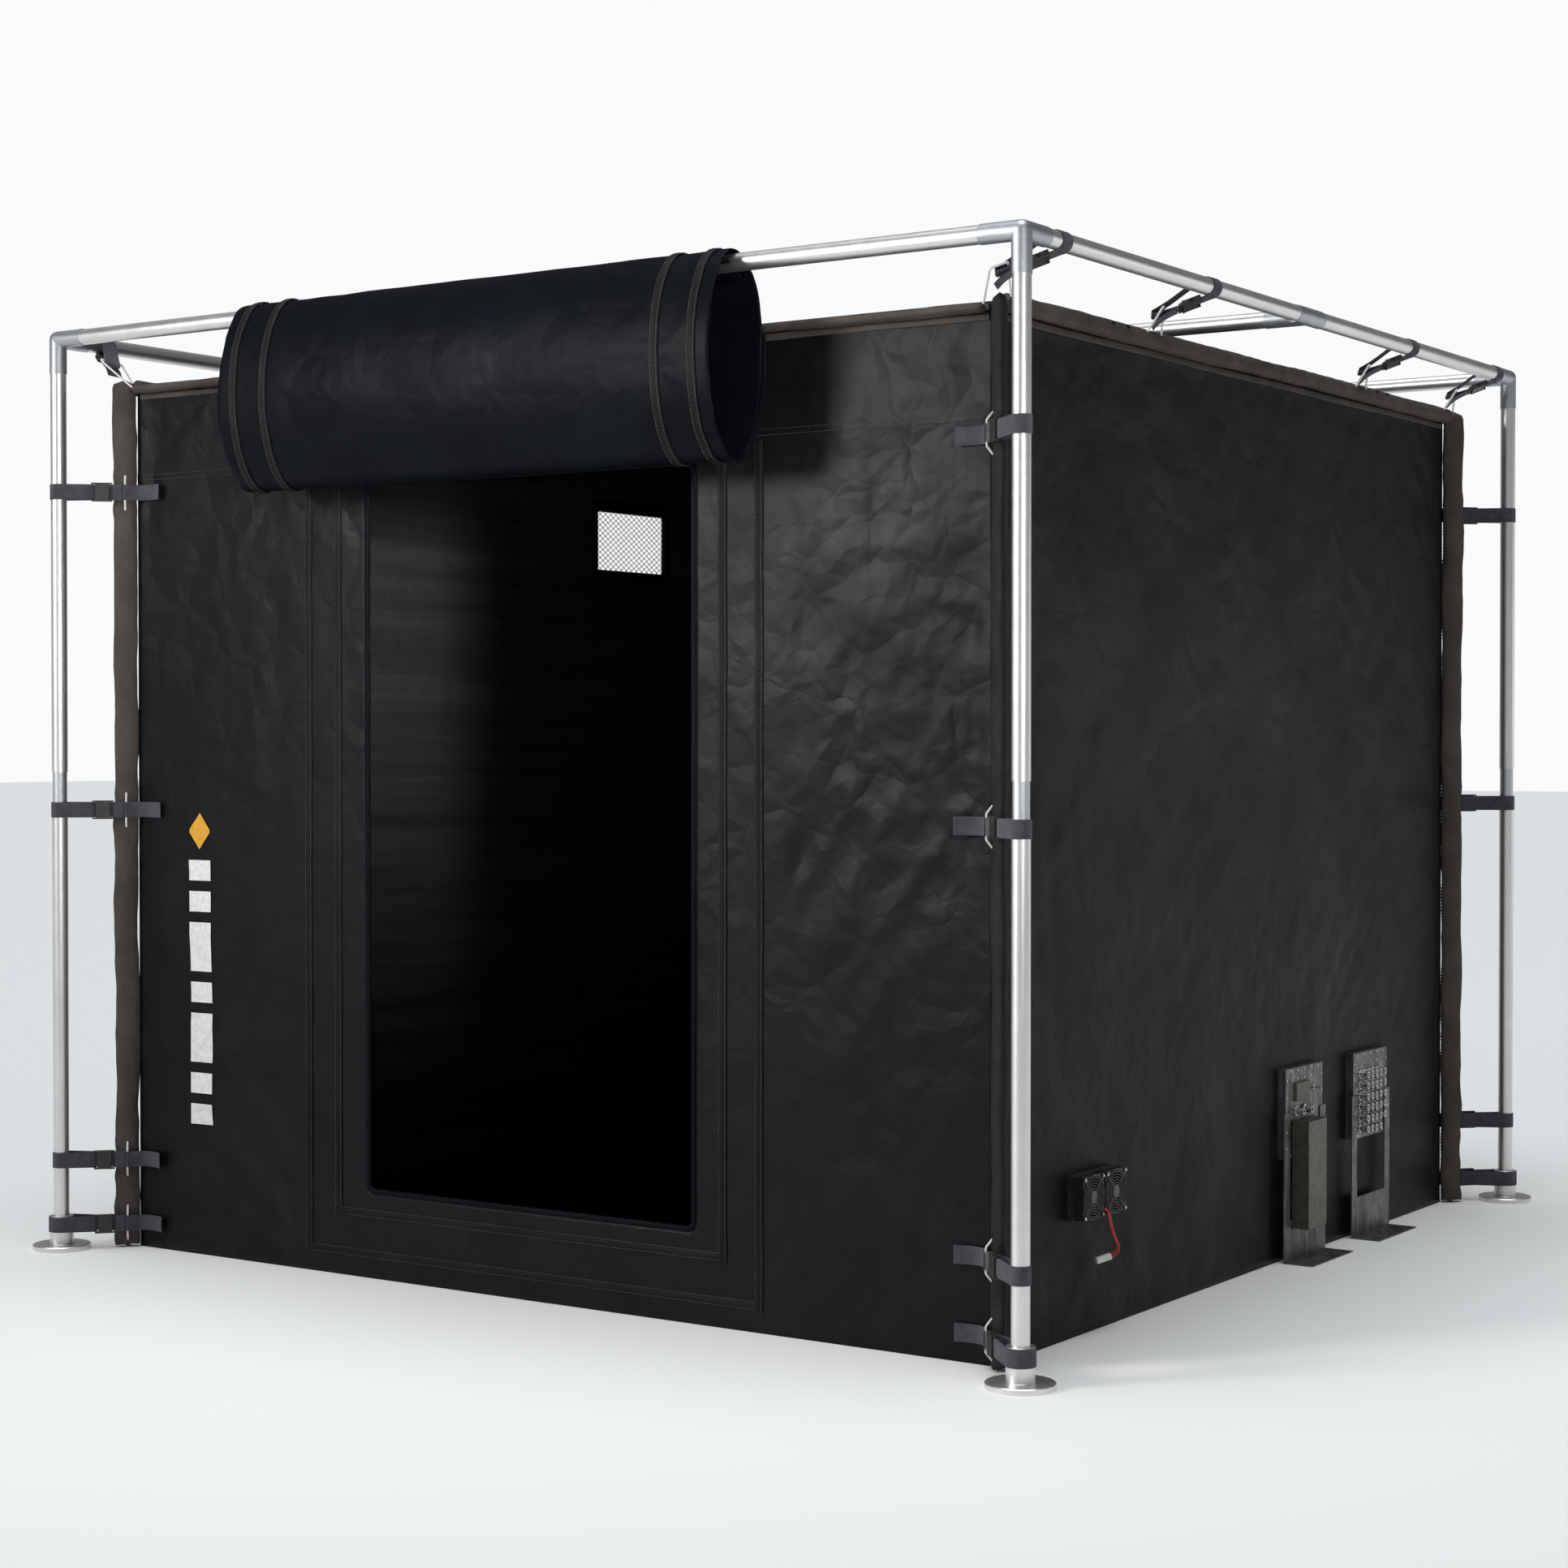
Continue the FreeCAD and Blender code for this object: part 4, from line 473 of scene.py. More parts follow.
def fade_near(x, y, boxes, reach):
    """0 on the given rectangles, rising to 1 at reach from them."""
    share = 1.0
    for low_x, high_x, low_y, high_y in boxes:
        gap = math.hypot(max(low_x - x, x - high_x, 0), max(low_y - y, y - high_y, 0))
        share = min(share, smooth_step(gap, 0, reach))
    return share


def edge_fade(x, y, low_x, high_x, low_y, high_y):
    """0 at the edges of a rectangle, rising to 1 inside it."""
    nearest = min(x - low_x, high_x - x, y - low_y, high_y - y)
    return smooth_step(nearest, 0, 0.06)


def front_relief(x, z):
    """How far the front wall's cloth stands out from its plane."""
    height = crumple(x, z, 11.0)
    left = smooth_step(-x, 0.45, 0.8) * smooth_step(1.5 - z, 0, 0.6)
    height += left * long_folds(x, z, -38, 0.10, 0.006, 31.0)
    right = smooth_step(x, 0.6, 0.8)
    height += right * long_folds(x, z, 52, 0.10, 0.008, 47.0)
    strips = 1 - smooth_step(abs(x), 0.70, 0.76)
    height *= 1 - 0.72 * strips
    seam = math.exp(-((z - SEAM_LEVEL) / 0.010) ** 2)
    return height * edge_fade(x, z, -HALF, HALF, 0, TOP) + 0.0016 * seam


ATTACHED = [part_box("fan_plenum"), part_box("power_panel"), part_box("signal_panel"),
            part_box("power_stand"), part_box("signal_stand")]
RIGHT_FLAT = [(low.y, high.y, low.z, high.z) for low, high in ATTACHED]
VENT_LOW, VENT_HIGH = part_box("vent_frame")
VENT_HOLE = (VENT_LOW.y + 0.035, VENT_HIGH.y - 0.035, VENT_LOW.z + 0.035, VENT_HIGH.z - 0.035)


def right_relief(y, z):
    """Slanting and upright folds that leave the fans and panels flat."""
    height = 0.75 * crumple(y, z, 53.0) + long_folds(y, z, 48, 0.14, 0.005, 61.0)
    height += 0.6 * long_folds(y, z, 96, 0.09, 0.003, 67.0)
    return height * edge_fade(y, z, -HALF, HALF, 0, TOP) * fade_near(y, z, RIGHT_FLAT, 0.10)


def left_relief(y, z):
    """The left wall sags in level creases."""
    height = 0.6 * crumple(y, z, 71.0)
    level = soft_noise(y * 0.9, z * 7.5, 83.0)
    sharp = abs(soft_noise(y * 0.8 + 4, z * 13.0, 87.0))
    height += 0.009 * level - 0.011 * sharp
    vent = [(VENT_LOW.y, VENT_HIGH.y, VENT_LOW.z, VENT_HIGH.z)]
    return height * edge_fade(y, z, -HALF, HALF, 0, TOP) * fade_near(y, z, vent, 0.08)


def rear_relief(x, z):
    """Steep stretch folds."""
    height = crumple(x, z, 97.0) + long_folds(x, z, 60, 0.16, 0.005, 101.0)
    return height * edge_fade(x, z, -HALF, HALF, 0, TOP)


def roof_relief(x, y):
    """The roof sags a little between its edge sleeves."""
    sag = -0.030 * math.cos(x / HALF * math.pi / 2) * math.cos(y / HALF * math.pi / 2)
    return sag + crumple(x, y, 113.0) * edge_fade(x, y, -HALF, HALF, -HALF, HALF)


def floor_relief(x, y):
    """Low ripples that never go below the ground."""
    ripple = crumple(x, y, 127.0) + 0.009
    return max(0.0, ripple * 0.35) * edge_fade(x, y, -HALF, HALF, -HALF, HALF)


WALL_STEP = 0.0135                      # spacing of the walls' points
HEM_LEVEL = 0.001                       # the walls and sleeves end this far above the floor


def wall(name, node, place, stops_u, stops_v, material, hole=None):
    """One cloth panel as a thin relief sheet; hole is a rectangle left open."""
    us = spaced(stops_u, WALL_STEP)
    vs = spaced(stops_v, WALL_STEP)
    points = [place(u, v) for v in vs for u in us]

    def keep(column, row):
        u = (us[column] + us[column + 1]) / 2
        v = (vs[row] + vs[row + 1]) / 2
        return not (hole and hole[0] < u < hole[1] and hole[2] < v < hole[3])

    points, faces = tidy_loose(points, grid_faces(len(us), len(vs), keep))
    piece = thicken(mesh_piece(name, points, faces, material), CLOTH)
    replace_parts(piece, node)
    return piece


def walls():
    """The six cloth panels of the tent."""
    skin = HALF - CLOTH / 2
    door = (DOOR["left"], DOOR["right"], DOOR["bottom"], DOOR["top"])
    wall("front_wall_cloth", "front_wall", lambda x, z: (x, -skin - front_relief(x, z), z),
         [-skin, door[0], door[1], skin], [HEM_LEVEL, door[2], door[3], TOP], BLACK_CLOTH, door)
    wall("rear_wall_cloth", "rear_wall", lambda x, z: (-x, skin + rear_relief(x, z), z),
         [-skin, skin], [HEM_LEVEL, TOP], SIDE_CLOTH)
    wall("right_wall_cloth", "right_wall", lambda y, z: (skin + right_relief(y, z), y, z),
         [-skin, skin], [HEM_LEVEL, TOP], SIDE_CLOTH)
    wall("left_wall_cloth", "left_wall", lambda y, z: (-skin - left_relief(y, z), y, z),
         [-skin, VENT_HOLE[0], VENT_HOLE[1], skin], [HEM_LEVEL, VENT_HOLE[2], VENT_HOLE[3], TOP],
         INNER_CLOTH, VENT_HOLE)
    wall("roof_cloth", "roof_panel", lambda x, y: (x, y, TOP - CLOTH + roof_relief(x, y)),
         [-skin, skin], [-skin, skin], SIDE_CLOTH)
    wall("floor_cloth", "floor_panel", lambda x, y: (x, y, CLOTH + floor_relief(x, y)),
         [-skin, skin], [-skin, skin], SIDE_CLOTH)


# ---------------------------------------------------------------- bands and stitches

HALF_PROFILE = [(0.12, 0.0031), (0.24, 0.0027), (0.34, 0.0011), (0.50, 0.0013), (0.80, 0.0019),
                (0.97, 0.0012), (1.0, 0.0)]
BAND_PROFILE = ([(-across, height) for across, height in reversed(HALF_PROFILE)] + [(0.0, 0.0014)]
                + HALF_PROFILE)
STITCH_ROWS = (-0.72, 0.72)


def rails_of(path, normals, closed=False):
    """The sideways direction at each point of a path that lies on a surface."""
    sides = []
    for number, point in enumerate(path):
        before = path[number - 1] if number or closed else point
        after = path[(number + 1) % len(path)] if number + 1 < len(path) or closed else point
        sides.append((after - before).normalized().cross(normals[number]).normalized())
    return sides


def band(name, path, normals, half, lift, material, closed=False, body="frame",
         seed=0.0):
    """A sewn strip with a double piping down its middle, laid along a path; its stitches are added apart."""
    sides = rails_of(path, normals, closed)
    points = []
    measure = []
    length = 0.0
    for number, point in enumerate(path):
        if number:
            length += (point - path[number - 1]).length
        wander = 0.0012 * soft_noise(length * 9, seed, 0)
        for across, height in BAND_PROFILE:
            pucker = 0.0004 * soft_noise(length * 90, across * 3, seed)
            side = across * half * (1 + 0.03 * soft_noise(length * 30, across, seed)) + wander
            points.append(point + sides[number] * side + normals[number] * (lift + height + pucker))
            measure.append((length, across * half))
    faces = grid_faces(len(BAND_PROFILE), len(path), loop=closed)
    return mesh_piece(name, points, faces, material, body, measure)


STITCH_LENGTH = 0.0062
STITCH_PITCH = 0.0088
STITCH_HALF = 0.0008


def walk(path, pitch):
    """Places a pitch apart along a path: the index of the stretch, and the share of it."""
    places = []
    left = pitch / 2
    for number in range(len(path) - 1):
        run = (path[number + 1] - path[number]).length
        while left < run:
            places.append((number, left / run))
            left += pitch
        left -= run
    return places


def stitches(name, path, normals, offsets, lift, closed=False, body="frame"):
    """Rows of raised thread stitches beside a path."""
    if closed:
        path = path + path[:1]
        normals = normals + normals[:1]
    sides = rails_of(path, normals)
    points = []
    faces = []
    for offset in offsets:
        for number, share in walk(path, STITCH_PITCH):
            out = normals[number].lerp(normals[number + 1], share).normalized()
            side = sides[number].lerp(sides[number + 1], share).normalized()
            way = (path[number + 1] - path[number]).normalized()
            jitter = 0.0003 * seeded.uniform(-1, 1)
            middle = path[number].lerp(path[number + 1], share) + side * (offset + jitter) + out * lift
            start = len(points)
            for at, rise in ((-0.5, 0.0), (-0.25, 0.0009), (0.25, 0.0009), (0.5, 0.0)):
                for across, up in ((-1, 0.0), (0, 0.8), (1, 0.0)):
                    thin = 1 if rise else 0.55
                    points.append(middle + way * (at * STITCH_LENGTH) + side * (across * STITCH_HALF * thin)
                                  + out * (rise + up * STITCH_HALF))
            faces += shifted(grid_faces(3, 4) + [(2, 1, 0), (9, 10, 11)], start)
    return mesh_piece(name, points, faces, THREAD, body)


def sewn_band(name, path, normals, lift, seed, body="frame"):
    """A seal strip with its two rows of stitches."""
    piece = band(name, path, normals, BAND_HALF, lift, STRIP_CLOTH, body=body, seed=seed)
    rows = [BAND_HALF * row for row in STITCH_ROWS]
    stitches(name + "_thread", path, normals, rows, lift + 0.0017, body=body)
    return piece


def line_on_front(start, end):
    """A straight line on the front wall, from (x, z) to (x, z), that follows the cloth."""
    start = Vector(start)
    end = Vector(end)
    count = max(2, round((end - start).length / 0.012))
    spots = [start.lerp(end, number / count) for number in range(count + 1)]
    return [Vector((spot.x, -HALF - front_relief(*spot), spot.y)) for spot in spots]


def front_strips():
    """Two U-shaped seal strips round the doorway: upright bands over a level one."""
    pieces = []
    for name, reach, sill in (("inner_strip", 0.552, 0.152), ("outer_strip", 0.646, 0.057)):
        level = line_on_front((reach - BAND_HALF, sill), (-reach + BAND_HALF, sill))
        pieces.append(sewn_band(name + "_level", level, [FORWARD] * len(level), 0.0002, seed=reach))
        for side, label in ((-1, "left"), (1, "right")):
            upright = line_on_front((side * reach, STRIPS_TOP), (side * reach, sill - BAND_HALF))
            pieces.append(sewn_band(name + "_" + label, upright, [FORWARD] * len(upright), 0.0012,
                                    seed=side * reach))
    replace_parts(pieces[0], "door_seal_strips")


def rounded_rectangle(left, right, bottom, top, radius, step=0.02):
    """Points round a rectangle with rounded corners, anticlockwise."""
    points = []
    corners = ((right - radius, bottom + radius, -90), (right - radius, top - radius, 0),
               (left + radius, top - radius, 90), (left + radius, bottom + radius, 180))
    for number, (x, y, start) in enumerate(corners):
        bend = [(x + radius * math.cos(math.radians(start + turn)),
                 y + radius * math.sin(math.radians(start + turn))) for turn in range(0, 91, 15)]
        ahead = corners[(number + 1) % 4]
        angle = math.radians(ahead[2])
        goal = (ahead[0] + radius * math.cos(angle), ahead[1] + radius * math.sin(angle))
        last = bend[-1]
        count = max(1, round(math.dist(last, goal) / step))
        run = [(last[0] + (goal[0] - last[0]) * part / count,
                last[1] + (goal[1] - last[1]) * part / count) for part in range(1, count)]
        points += bend + run
    return points


def door_binding():
    """Rolled edge round the doorway."""
    spots = rounded_rectangle(DOOR["left"], DOOR["right"], DOOR["bottom"], DOOR["top"], DOOR["round"])
    path = [Vector((x, -HALF + CLOTH / 2 - front_relief(x, z), z)) for x, z in spots]
    sides = rails_of(path, [FORWARD] * len(path), True)
    points = []
    turns = 10
    for point, side in zip(path, sides):
        for angle in angles_round(turns):
            inwards = 0.0015 - 0.0075 * math.cos(angle)
            points.append(point - side * inwards + FORWARD * (0.0042 * math.sin(angle)))
    mesh_piece("door_binding", points, grid_faces(turns, len(path), wrap=True, loop=True), ROLL_CLOTH)


def front_seam():
    """Level seam across the front wall, hidden behind the rolled door in the middle."""
    for side, label in ((-1, "left"), (1, "right")):
        path = line_on_front((side * (HALF - 0.02), SEAM_LEVEL), (side * 0.60, SEAM_LEVEL))
        stitches("front_seam_" + label, path, [FORWARD] * len(path), (-0.006, 0.006), 0.0003)


# ---------------------------------------------------------------- rolled door

ROLL_LOW, ROLL_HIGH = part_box("door_flap")
ROLL_MIDDLE = (ROLL_LOW + ROLL_HIGH) / 2
ROLL_HALF = (ROLL_HIGH - ROLL_LOW) / 2
ROLL_TURNS = 1.86
ROLL_START = 115.0                      # inner end of the cloth, degrees round from the front
ROLL_STEPS = 150
ROLL_COLUMNS = 120


def roll_share(turn):
    """Size of the roll's section, as a share of its full size, after so many turns."""
    return 0.942 + 0.040 * turn / ROLL_TURNS


def roll_point(x, turn, lift=0.0):
    """A point of the rolled cloth: turn counts the turns made so far from the inner end."""
    angle = math.radians(ROLL_START - 360 * turn)
    share = roll_share(turn)
    curl = 1 - smooth_step(turn, 0, 0.20)
    share -= 0.16 * curl
    end = smooth_step(abs(x), ROLL_HALF.x - 0.13, ROLL_HALF.x)
    dent = crumple(x * 1.2, turn * 1.05, 151.0) * 0.42 * (0.35 + 0.65 * smooth_step(turn, 0.7, 1.1))
    frill = end * 0.0032 * soft_noise(turn * 26, 3.0 if x > 0 else 9.0, 0)
    out = Vector((0, -math.cos(angle) / ROLL_HALF.y, math.sin(angle) / ROLL_HALF.z)).normalized()
    base = Vector((x, ROLL_MIDDLE.y - share * ROLL_HALF.y * math.cos(angle),
                   ROLL_MIDDLE.z + share * ROLL_HALF.z * math.sin(angle)))
    return base + out * (dent + frill + lift), out


def roll_edge(x, turn):
    """The cloth's side edge wanders a little."""
    wander = 0.006 * soft_noise(turn * 7, 1.0 if x > 0 else 5.0, 2.0)
    wander += 0.002 * soft_noise(turn * 40, 1.0 if x > 0 else 5.0, 4.0)
    outermost = abs(x) ** 8
    return (ROLL_HALF.x - 0.006) * x + wander * outermost - 0.012 * x * outermost * (1 - turn / ROLL_TURNS)


def rolled_door():
    """The door's cloth, rolled up and hung over the front rail, with its four sewn bands."""
    points = []
    shares = [math.sin(math.pi / 2 * (2 * column / ROLL_COLUMNS - 1)) * 0.35
              + (2 * column / ROLL_COLUMNS - 1) * 0.65 for column in range(ROLL_COLUMNS + 1)]
    turns = [ROLL_TURNS * number / ROLL_STEPS for number in range(ROLL_STEPS + 1)]
    for turn in turns:
        points += [roll_point(roll_edge(share, turn), turn)[0] for share in shares]
    faces = grid_faces(len(shares), len(turns))
    piece = mesh_piece("rolled_door_cloth", points, faces, ROLL_CLOTH, "door_flap")
    thicken(piece, CLOTH, 1)
    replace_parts(piece, "door_flap")
    edge = [roll_point(0, turn)[0] for turn in turns]
    first = ROLL_TURNS - 1.02
    steps = 110
    for number, x in enumerate((-0.646, -0.552, 0.552, 0.646)):
        spots = [roll_point(x, first + (ROLL_TURNS - 0.02 - first) * part / steps, CLOTH)
                 for part in range(steps + 1)]
        path = [spot[0] for spot in spots]
        normals = [spot[1] for spot in spots]
        sewn_band("door_band_%d" % number, path, normals, 0.0, number * 3.0, "door_flap")


# ---------------------------------------------------------------- sleeves

CORNERS = ((-1, -1), (1, -1), (1, 1), (-1, 1))
NEAR_CORNER = (1, -1)                   # the corner nearest the camera
SLEEVE_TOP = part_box("corner_sleeves")[1].z
EDGE_LENGTH = 1.205                     # half the length of a top sleeve
SLEEVE_REACH = 0.0295                   # half the long side of a corner sleeve's section
SLEEVE_THICK = 0.0150                   # half its short side
SLEEVE_OUT = HALF + SLEEVE_REACH * math.sqrt(0.5)
POST_STRAP_LEVELS = (0.062, 0.220, 1.085, 1.867)
CORD_SPREAD = 0.042                     # each cord hole is this far above or below its strap


def corner_sleeve_point(corner, angle, z):
    """A point of a corner sleeve: oval section, soft dents, and a pull outwards at each cord hole."""
    seed = 200 + 10 * corner
    reach = SLEEVE_REACH * math.cos(angle)
    thick = SLEEVE_THICK * math.sin(angle)
    dent = 0.0030 * soft_noise(math.cos(angle) * 0.7, math.sin(angle) * 0.7 + seed, z * 7)
    dent += 0.0010 * creases(math.cos(angle) * 0.1 + seed, z, 13.0, seed)
    pull = max(math.exp(-((z - level - side * CORD_SPREAD) / 0.016) ** 2)
               for level in POST_STRAP_LEVELS for side in (-1, 1))
    outer = max(0.0, math.cos(angle))
    closing = math.sqrt(max(0.0, 1 - max(0.0, (z - SLEEVE_TOP + 0.02) / 0.02) ** 2))
    reach = (reach * (1 + dent / SLEEVE_THICK) + 0.0028 * pull * outer ** 3) * max(closing, 0.05)
    thick = (thick + dent * math.sin(angle) * (1 - 0.4 * pull)) * max(closing, 0.05)
    lean = 0.0022 * soft_noise(seed, 0, z * 2.2) * smooth_step(z, 0, 0.1)
    side_x, side_y = CORNERS[corner]
    along = Vector((side_x, side_y, 0)) * math.sqrt(0.5)
    across = Vector((-along.y, along.x, 0))
    return Vector((side_x * SLEEVE_OUT, side_y * SLEEVE_OUT, z)) + along * reach + across * (thick + lean)


def tube_faces(turns, rows):
    """Side quads of a closed tube and a cap at each end."""
    faces = grid_faces(turns, rows, wrap=True)
    last = (rows - 1) * turns
    return faces + [tuple(reversed(range(turns))), tuple(range(last, last + turns))]


def corner_sleeves():
    """Heavy cloth sleeves down the four corners, with wandering lower ends."""
    turns = 28
    levels = spaced([HEM_LEVEL, 0.10, 0.30, 1.02, 1.15, 1.80, 1.93, SLEEVE_TOP - 0.02, SLEEVE_TOP], 0.012)
    for corner in range(4):
        points = []
        for z in levels:
            for angle in angles_round(turns):
                ragged = 0.006 * (1 + soft_noise(math.cos(angle) * 1.4, math.sin(angle) * 1.4, corner * 9.0))
                low = ragged * (1 - smooth_step(z, 0.0, 0.05))
                points.append(corner_sleeve_point(corner, angle, z + low))
        # The near corner's sleeve gets the darker copy of the sleeve cloth: painted shade, not a cloth of
        # another colour.
        paint = SHADED_SLEEVE if CORNERS[corner] == NEAR_CORNER else SLEEVE_CLOTH
        piece = mesh_piece("corner_sleeve_%d" % corner, points, tube_faces(turns, len(levels)), paint)
        if corner == 0:
            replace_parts(piece, "corner_sleeves")
        path = [corner_sleeve_point(corner, math.pi * 0.86, z) for z in levels[4:-4]]
        side_x, side_y = CORNERS[corner]
        out = Vector((-side_y, side_x, 0)).normalized()
        stitches("corner_sleeve_thread_%d" % corner, path, [out] * len(path), (0.0,), 0.0002)


def edge_sleeve_point(quarter, angle, x):
    """A point of a top sleeve; the side ones stand up full and the front and rear ones hang flat."""
    full = quarter % 2 == 1
    seed = 300 + 10 * quarter
    rise = 0.020 if full else 0.011
    middle = TOP - (0.004 if full else 0.014)
    depth = 0.017
    dent = 0.0026 * soft_noise(x * 5, math.cos(angle), math.sin(angle) + seed)
    dent += 0.0012 * creases(x, math.sin(angle) * 0.08 + seed, 17.0, seed)
    sag = 0.003 * soft_noise(x * 1.3, seed, 0)
    pucker = 0.0005 * math.sin(x * 420) * max(0.0, -math.sin(angle)) ** 2
    out = HALF + depth + 0.0002 + (depth + dent) * math.cos(angle)
    up = middle + sag + (rise + dent + pucker) * math.sin(angle)
    turn = Matrix.Rotation(math.pi / 2 * quarter, 3, "Z")
    return turn @ Vector((x, -out, up))


def edge_sleeves():
    """Sleeves along the top edges, each with a flat sewn strip below it."""
    turns = 22
    spots = spaced([-EDGE_LENGTH, EDGE_LENGTH], 0.014)
    for quarter in range(4):
        points = []
        for x in spots:
            points += [edge_sleeve_point(quarter, angle, x) for angle in angles_round(turns)]
        piece = mesh_piece("top_sleeve_%d" % quarter, points, tube_faces(turns, len(spots)), SLEEVE_CLOTH)
        if quarter == 0:
            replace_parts(piece, "top_sleeves")
        turn = Matrix.Rotation(math.pi / 2 * quarter, 3, "Z")
        level = TOP - (0.029 if quarter % 2 else 0.030)
        path = [turn @ Vector((x, -HALF - 0.0004, level + 0.0008 * math.sin(x * 9))) for x in spots]
        normals = [turn @ FORWARD] * len(path)
        hem("top_hem_%d" % quarter, path, normals, 0.0075)
        stitches("top_hem_thread_%d" % quarter, path, normals, (-0.0045,), 0.0024)


def hem(name, path, normals, half):
    """Flat folded strip laid on a surface."""
    sides = rails_of(path, normals)
    profile = ((-1.0, 0.0), (-0.94, 0.0016), (-0.5, 0.0022), (0.5, 0.0022), (0.94, 0.0016), (1.0, 0.0))
    points = []
    for number, point in enumerate(path):
        for across, height in profile:
            pucker = 0.0004 * soft_noise(number * 0.9, across * 2, half * 100)
            points.append(point + sides[number] * (across * half) + normals[number] * (height + pucker))
    return mesh_piece(name, points, grid_faces(len(profile), len(path)), SLEEVE_CLOTH)


# ---------------------------------------------------------------- webbing straps

WEB_HALF = 0.019
WEB_THICK = 0.002
WEB_GAP = 0.0003
POST_PLACE = 1.353                      # X and Y of the posts, and of the rails over them
RAIL_PLACE = 2.241                      # level of the rails' middle
TUBE_RADIUS = 0.01905
COLLAR_RADIUS = 0.029
BIGHT = 0.0052                          # outside radius of the webbing's turn round the cord
SOCKET_END = 0.006                      # inside edge of the socket's bar
PLUG_SPAN = 0.0506                      # from the start of a socket to the end of its fastened plug
POST_BUCKLE = 0.080                     # where a post strap's socket starts, from the post's middle
RAIL_BUCKLE = 0.030                     # the same on a rail strap
PLY_GAP = 0.0012                        # each ply in a socket lies this far from the strap's middle
FLANK_GAP = 1.4 * WEB_THICK             # from a corner sleeve to the middle of the ply beside it
CORD_ASIDE = 0.026                      # the cord lies this far to the side of the sleeve's middle
UP = Vector((0, 0, 1))


class Ribbons:
    """Flat straps gathered into one mesh."""

    def __init__(self):
        self.points = []
        self.faces = []
        self.measure = []

    def add(self, line, width_way, thickness=WEB_THICK, sides=(1, 1)):
        """A strap along a line of points, with its width along width_way, mirrored for another corner."""
        edge = thickness / 2
        section = ((-WEB_HALF, -edge * 0.4), (-WEB_HALF + 0.0009, -edge), (-0.006, -edge), (0.006, -edge),
                   (WEB_HALF - 0.0009, -edge), (WEB_HALF, -edge * 0.4), (WEB_HALF, edge * 0.4),
                   (WEB_HALF - 0.0009, edge), (0.006, edge), (-0.006, edge), (-WEB_HALF + 0.0009, edge),
                   (-WEB_HALF, edge * 0.4))
        start = len(self.points)
        length = 0.0
        for number, point in enumerate(line):
            before = line[max(0, number - 1)]
            after = line[min(len(line) - 1, number + 1)]
            out = (after - before).cross(width_way).normalized()
            if number:
                length += (point - line[number - 1]).length
            for wide, thick in section:
                self.points.append(mirrored(point + width_way * wide + out * thick, sides))
                self.measure.append((length, wide))
        faces = tube_faces(len(section), len(line))
        if sides[0] * sides[1] < 0:
            faces = [tuple(reversed(face)) for face in faces]
        self.faces += shifted(faces, start)

    def piece(self, name):
        """The gathered straps as one visible piece."""
        return mesh_piece(name, self.points, self.faces, WEBBING, measure=self.measure)


def mirrored(point, sides):
    """The point that answers to this one at another corner."""
    return Vector((point.x * sides[0], point.y * sides[1], point.z))


def flat(*spots):
    """Points in a strap's own XY plane."""
    return [Vector((x, y, 0)) for x, y in spots]


def rounded_line(points):
    """Corners of a line cut twice, so that it bends like webbing."""
    for _ in range(2):
        finer = [points[0]]
        for before, after in zip(points, points[1:]):
            finer += [before.lerp(after, 0.25), before.lerp(after, 0.75)]
        points = finer + [points[-1]]
    return points


def arc(middle, radius, start, end, steps):
    """Points on a circle in the XY plane, between two angles in degrees."""
    angles = [math.radians(start + (end - start) * part / steps) for part in range(steps + 1)]
    return [middle + Vector((math.cos(angle), math.sin(angle), 0)) * radius for angle in angles]


def post_strap_frame(radius):
    """Strap frame at the right rear post: X runs from the post to the cord, +Y is the buckled side."""
    aside = CORD_ASIDE * math.sqrt(0.5)
    anchor = Vector((SLEEVE_OUT - aside - POST_PLACE, SLEEVE_OUT + aside - POST_PLACE, 0))
    offset = radius + WEB_GAP + WEB_THICK / 2
    reach = math.sqrt(anchor.length ** 2 - offset ** 2)
    heading = math.atan2(anchor.y, anchor.x) + math.atan2(offset, reach)
    turn = Matrix.Rotation(heading, 4, "Z") @ Matrix.Rotation(math.pi, 4, "X")
    return Matrix.Translation((POST_PLACE, POST_PLACE, 0)) @ turn, offset, reach


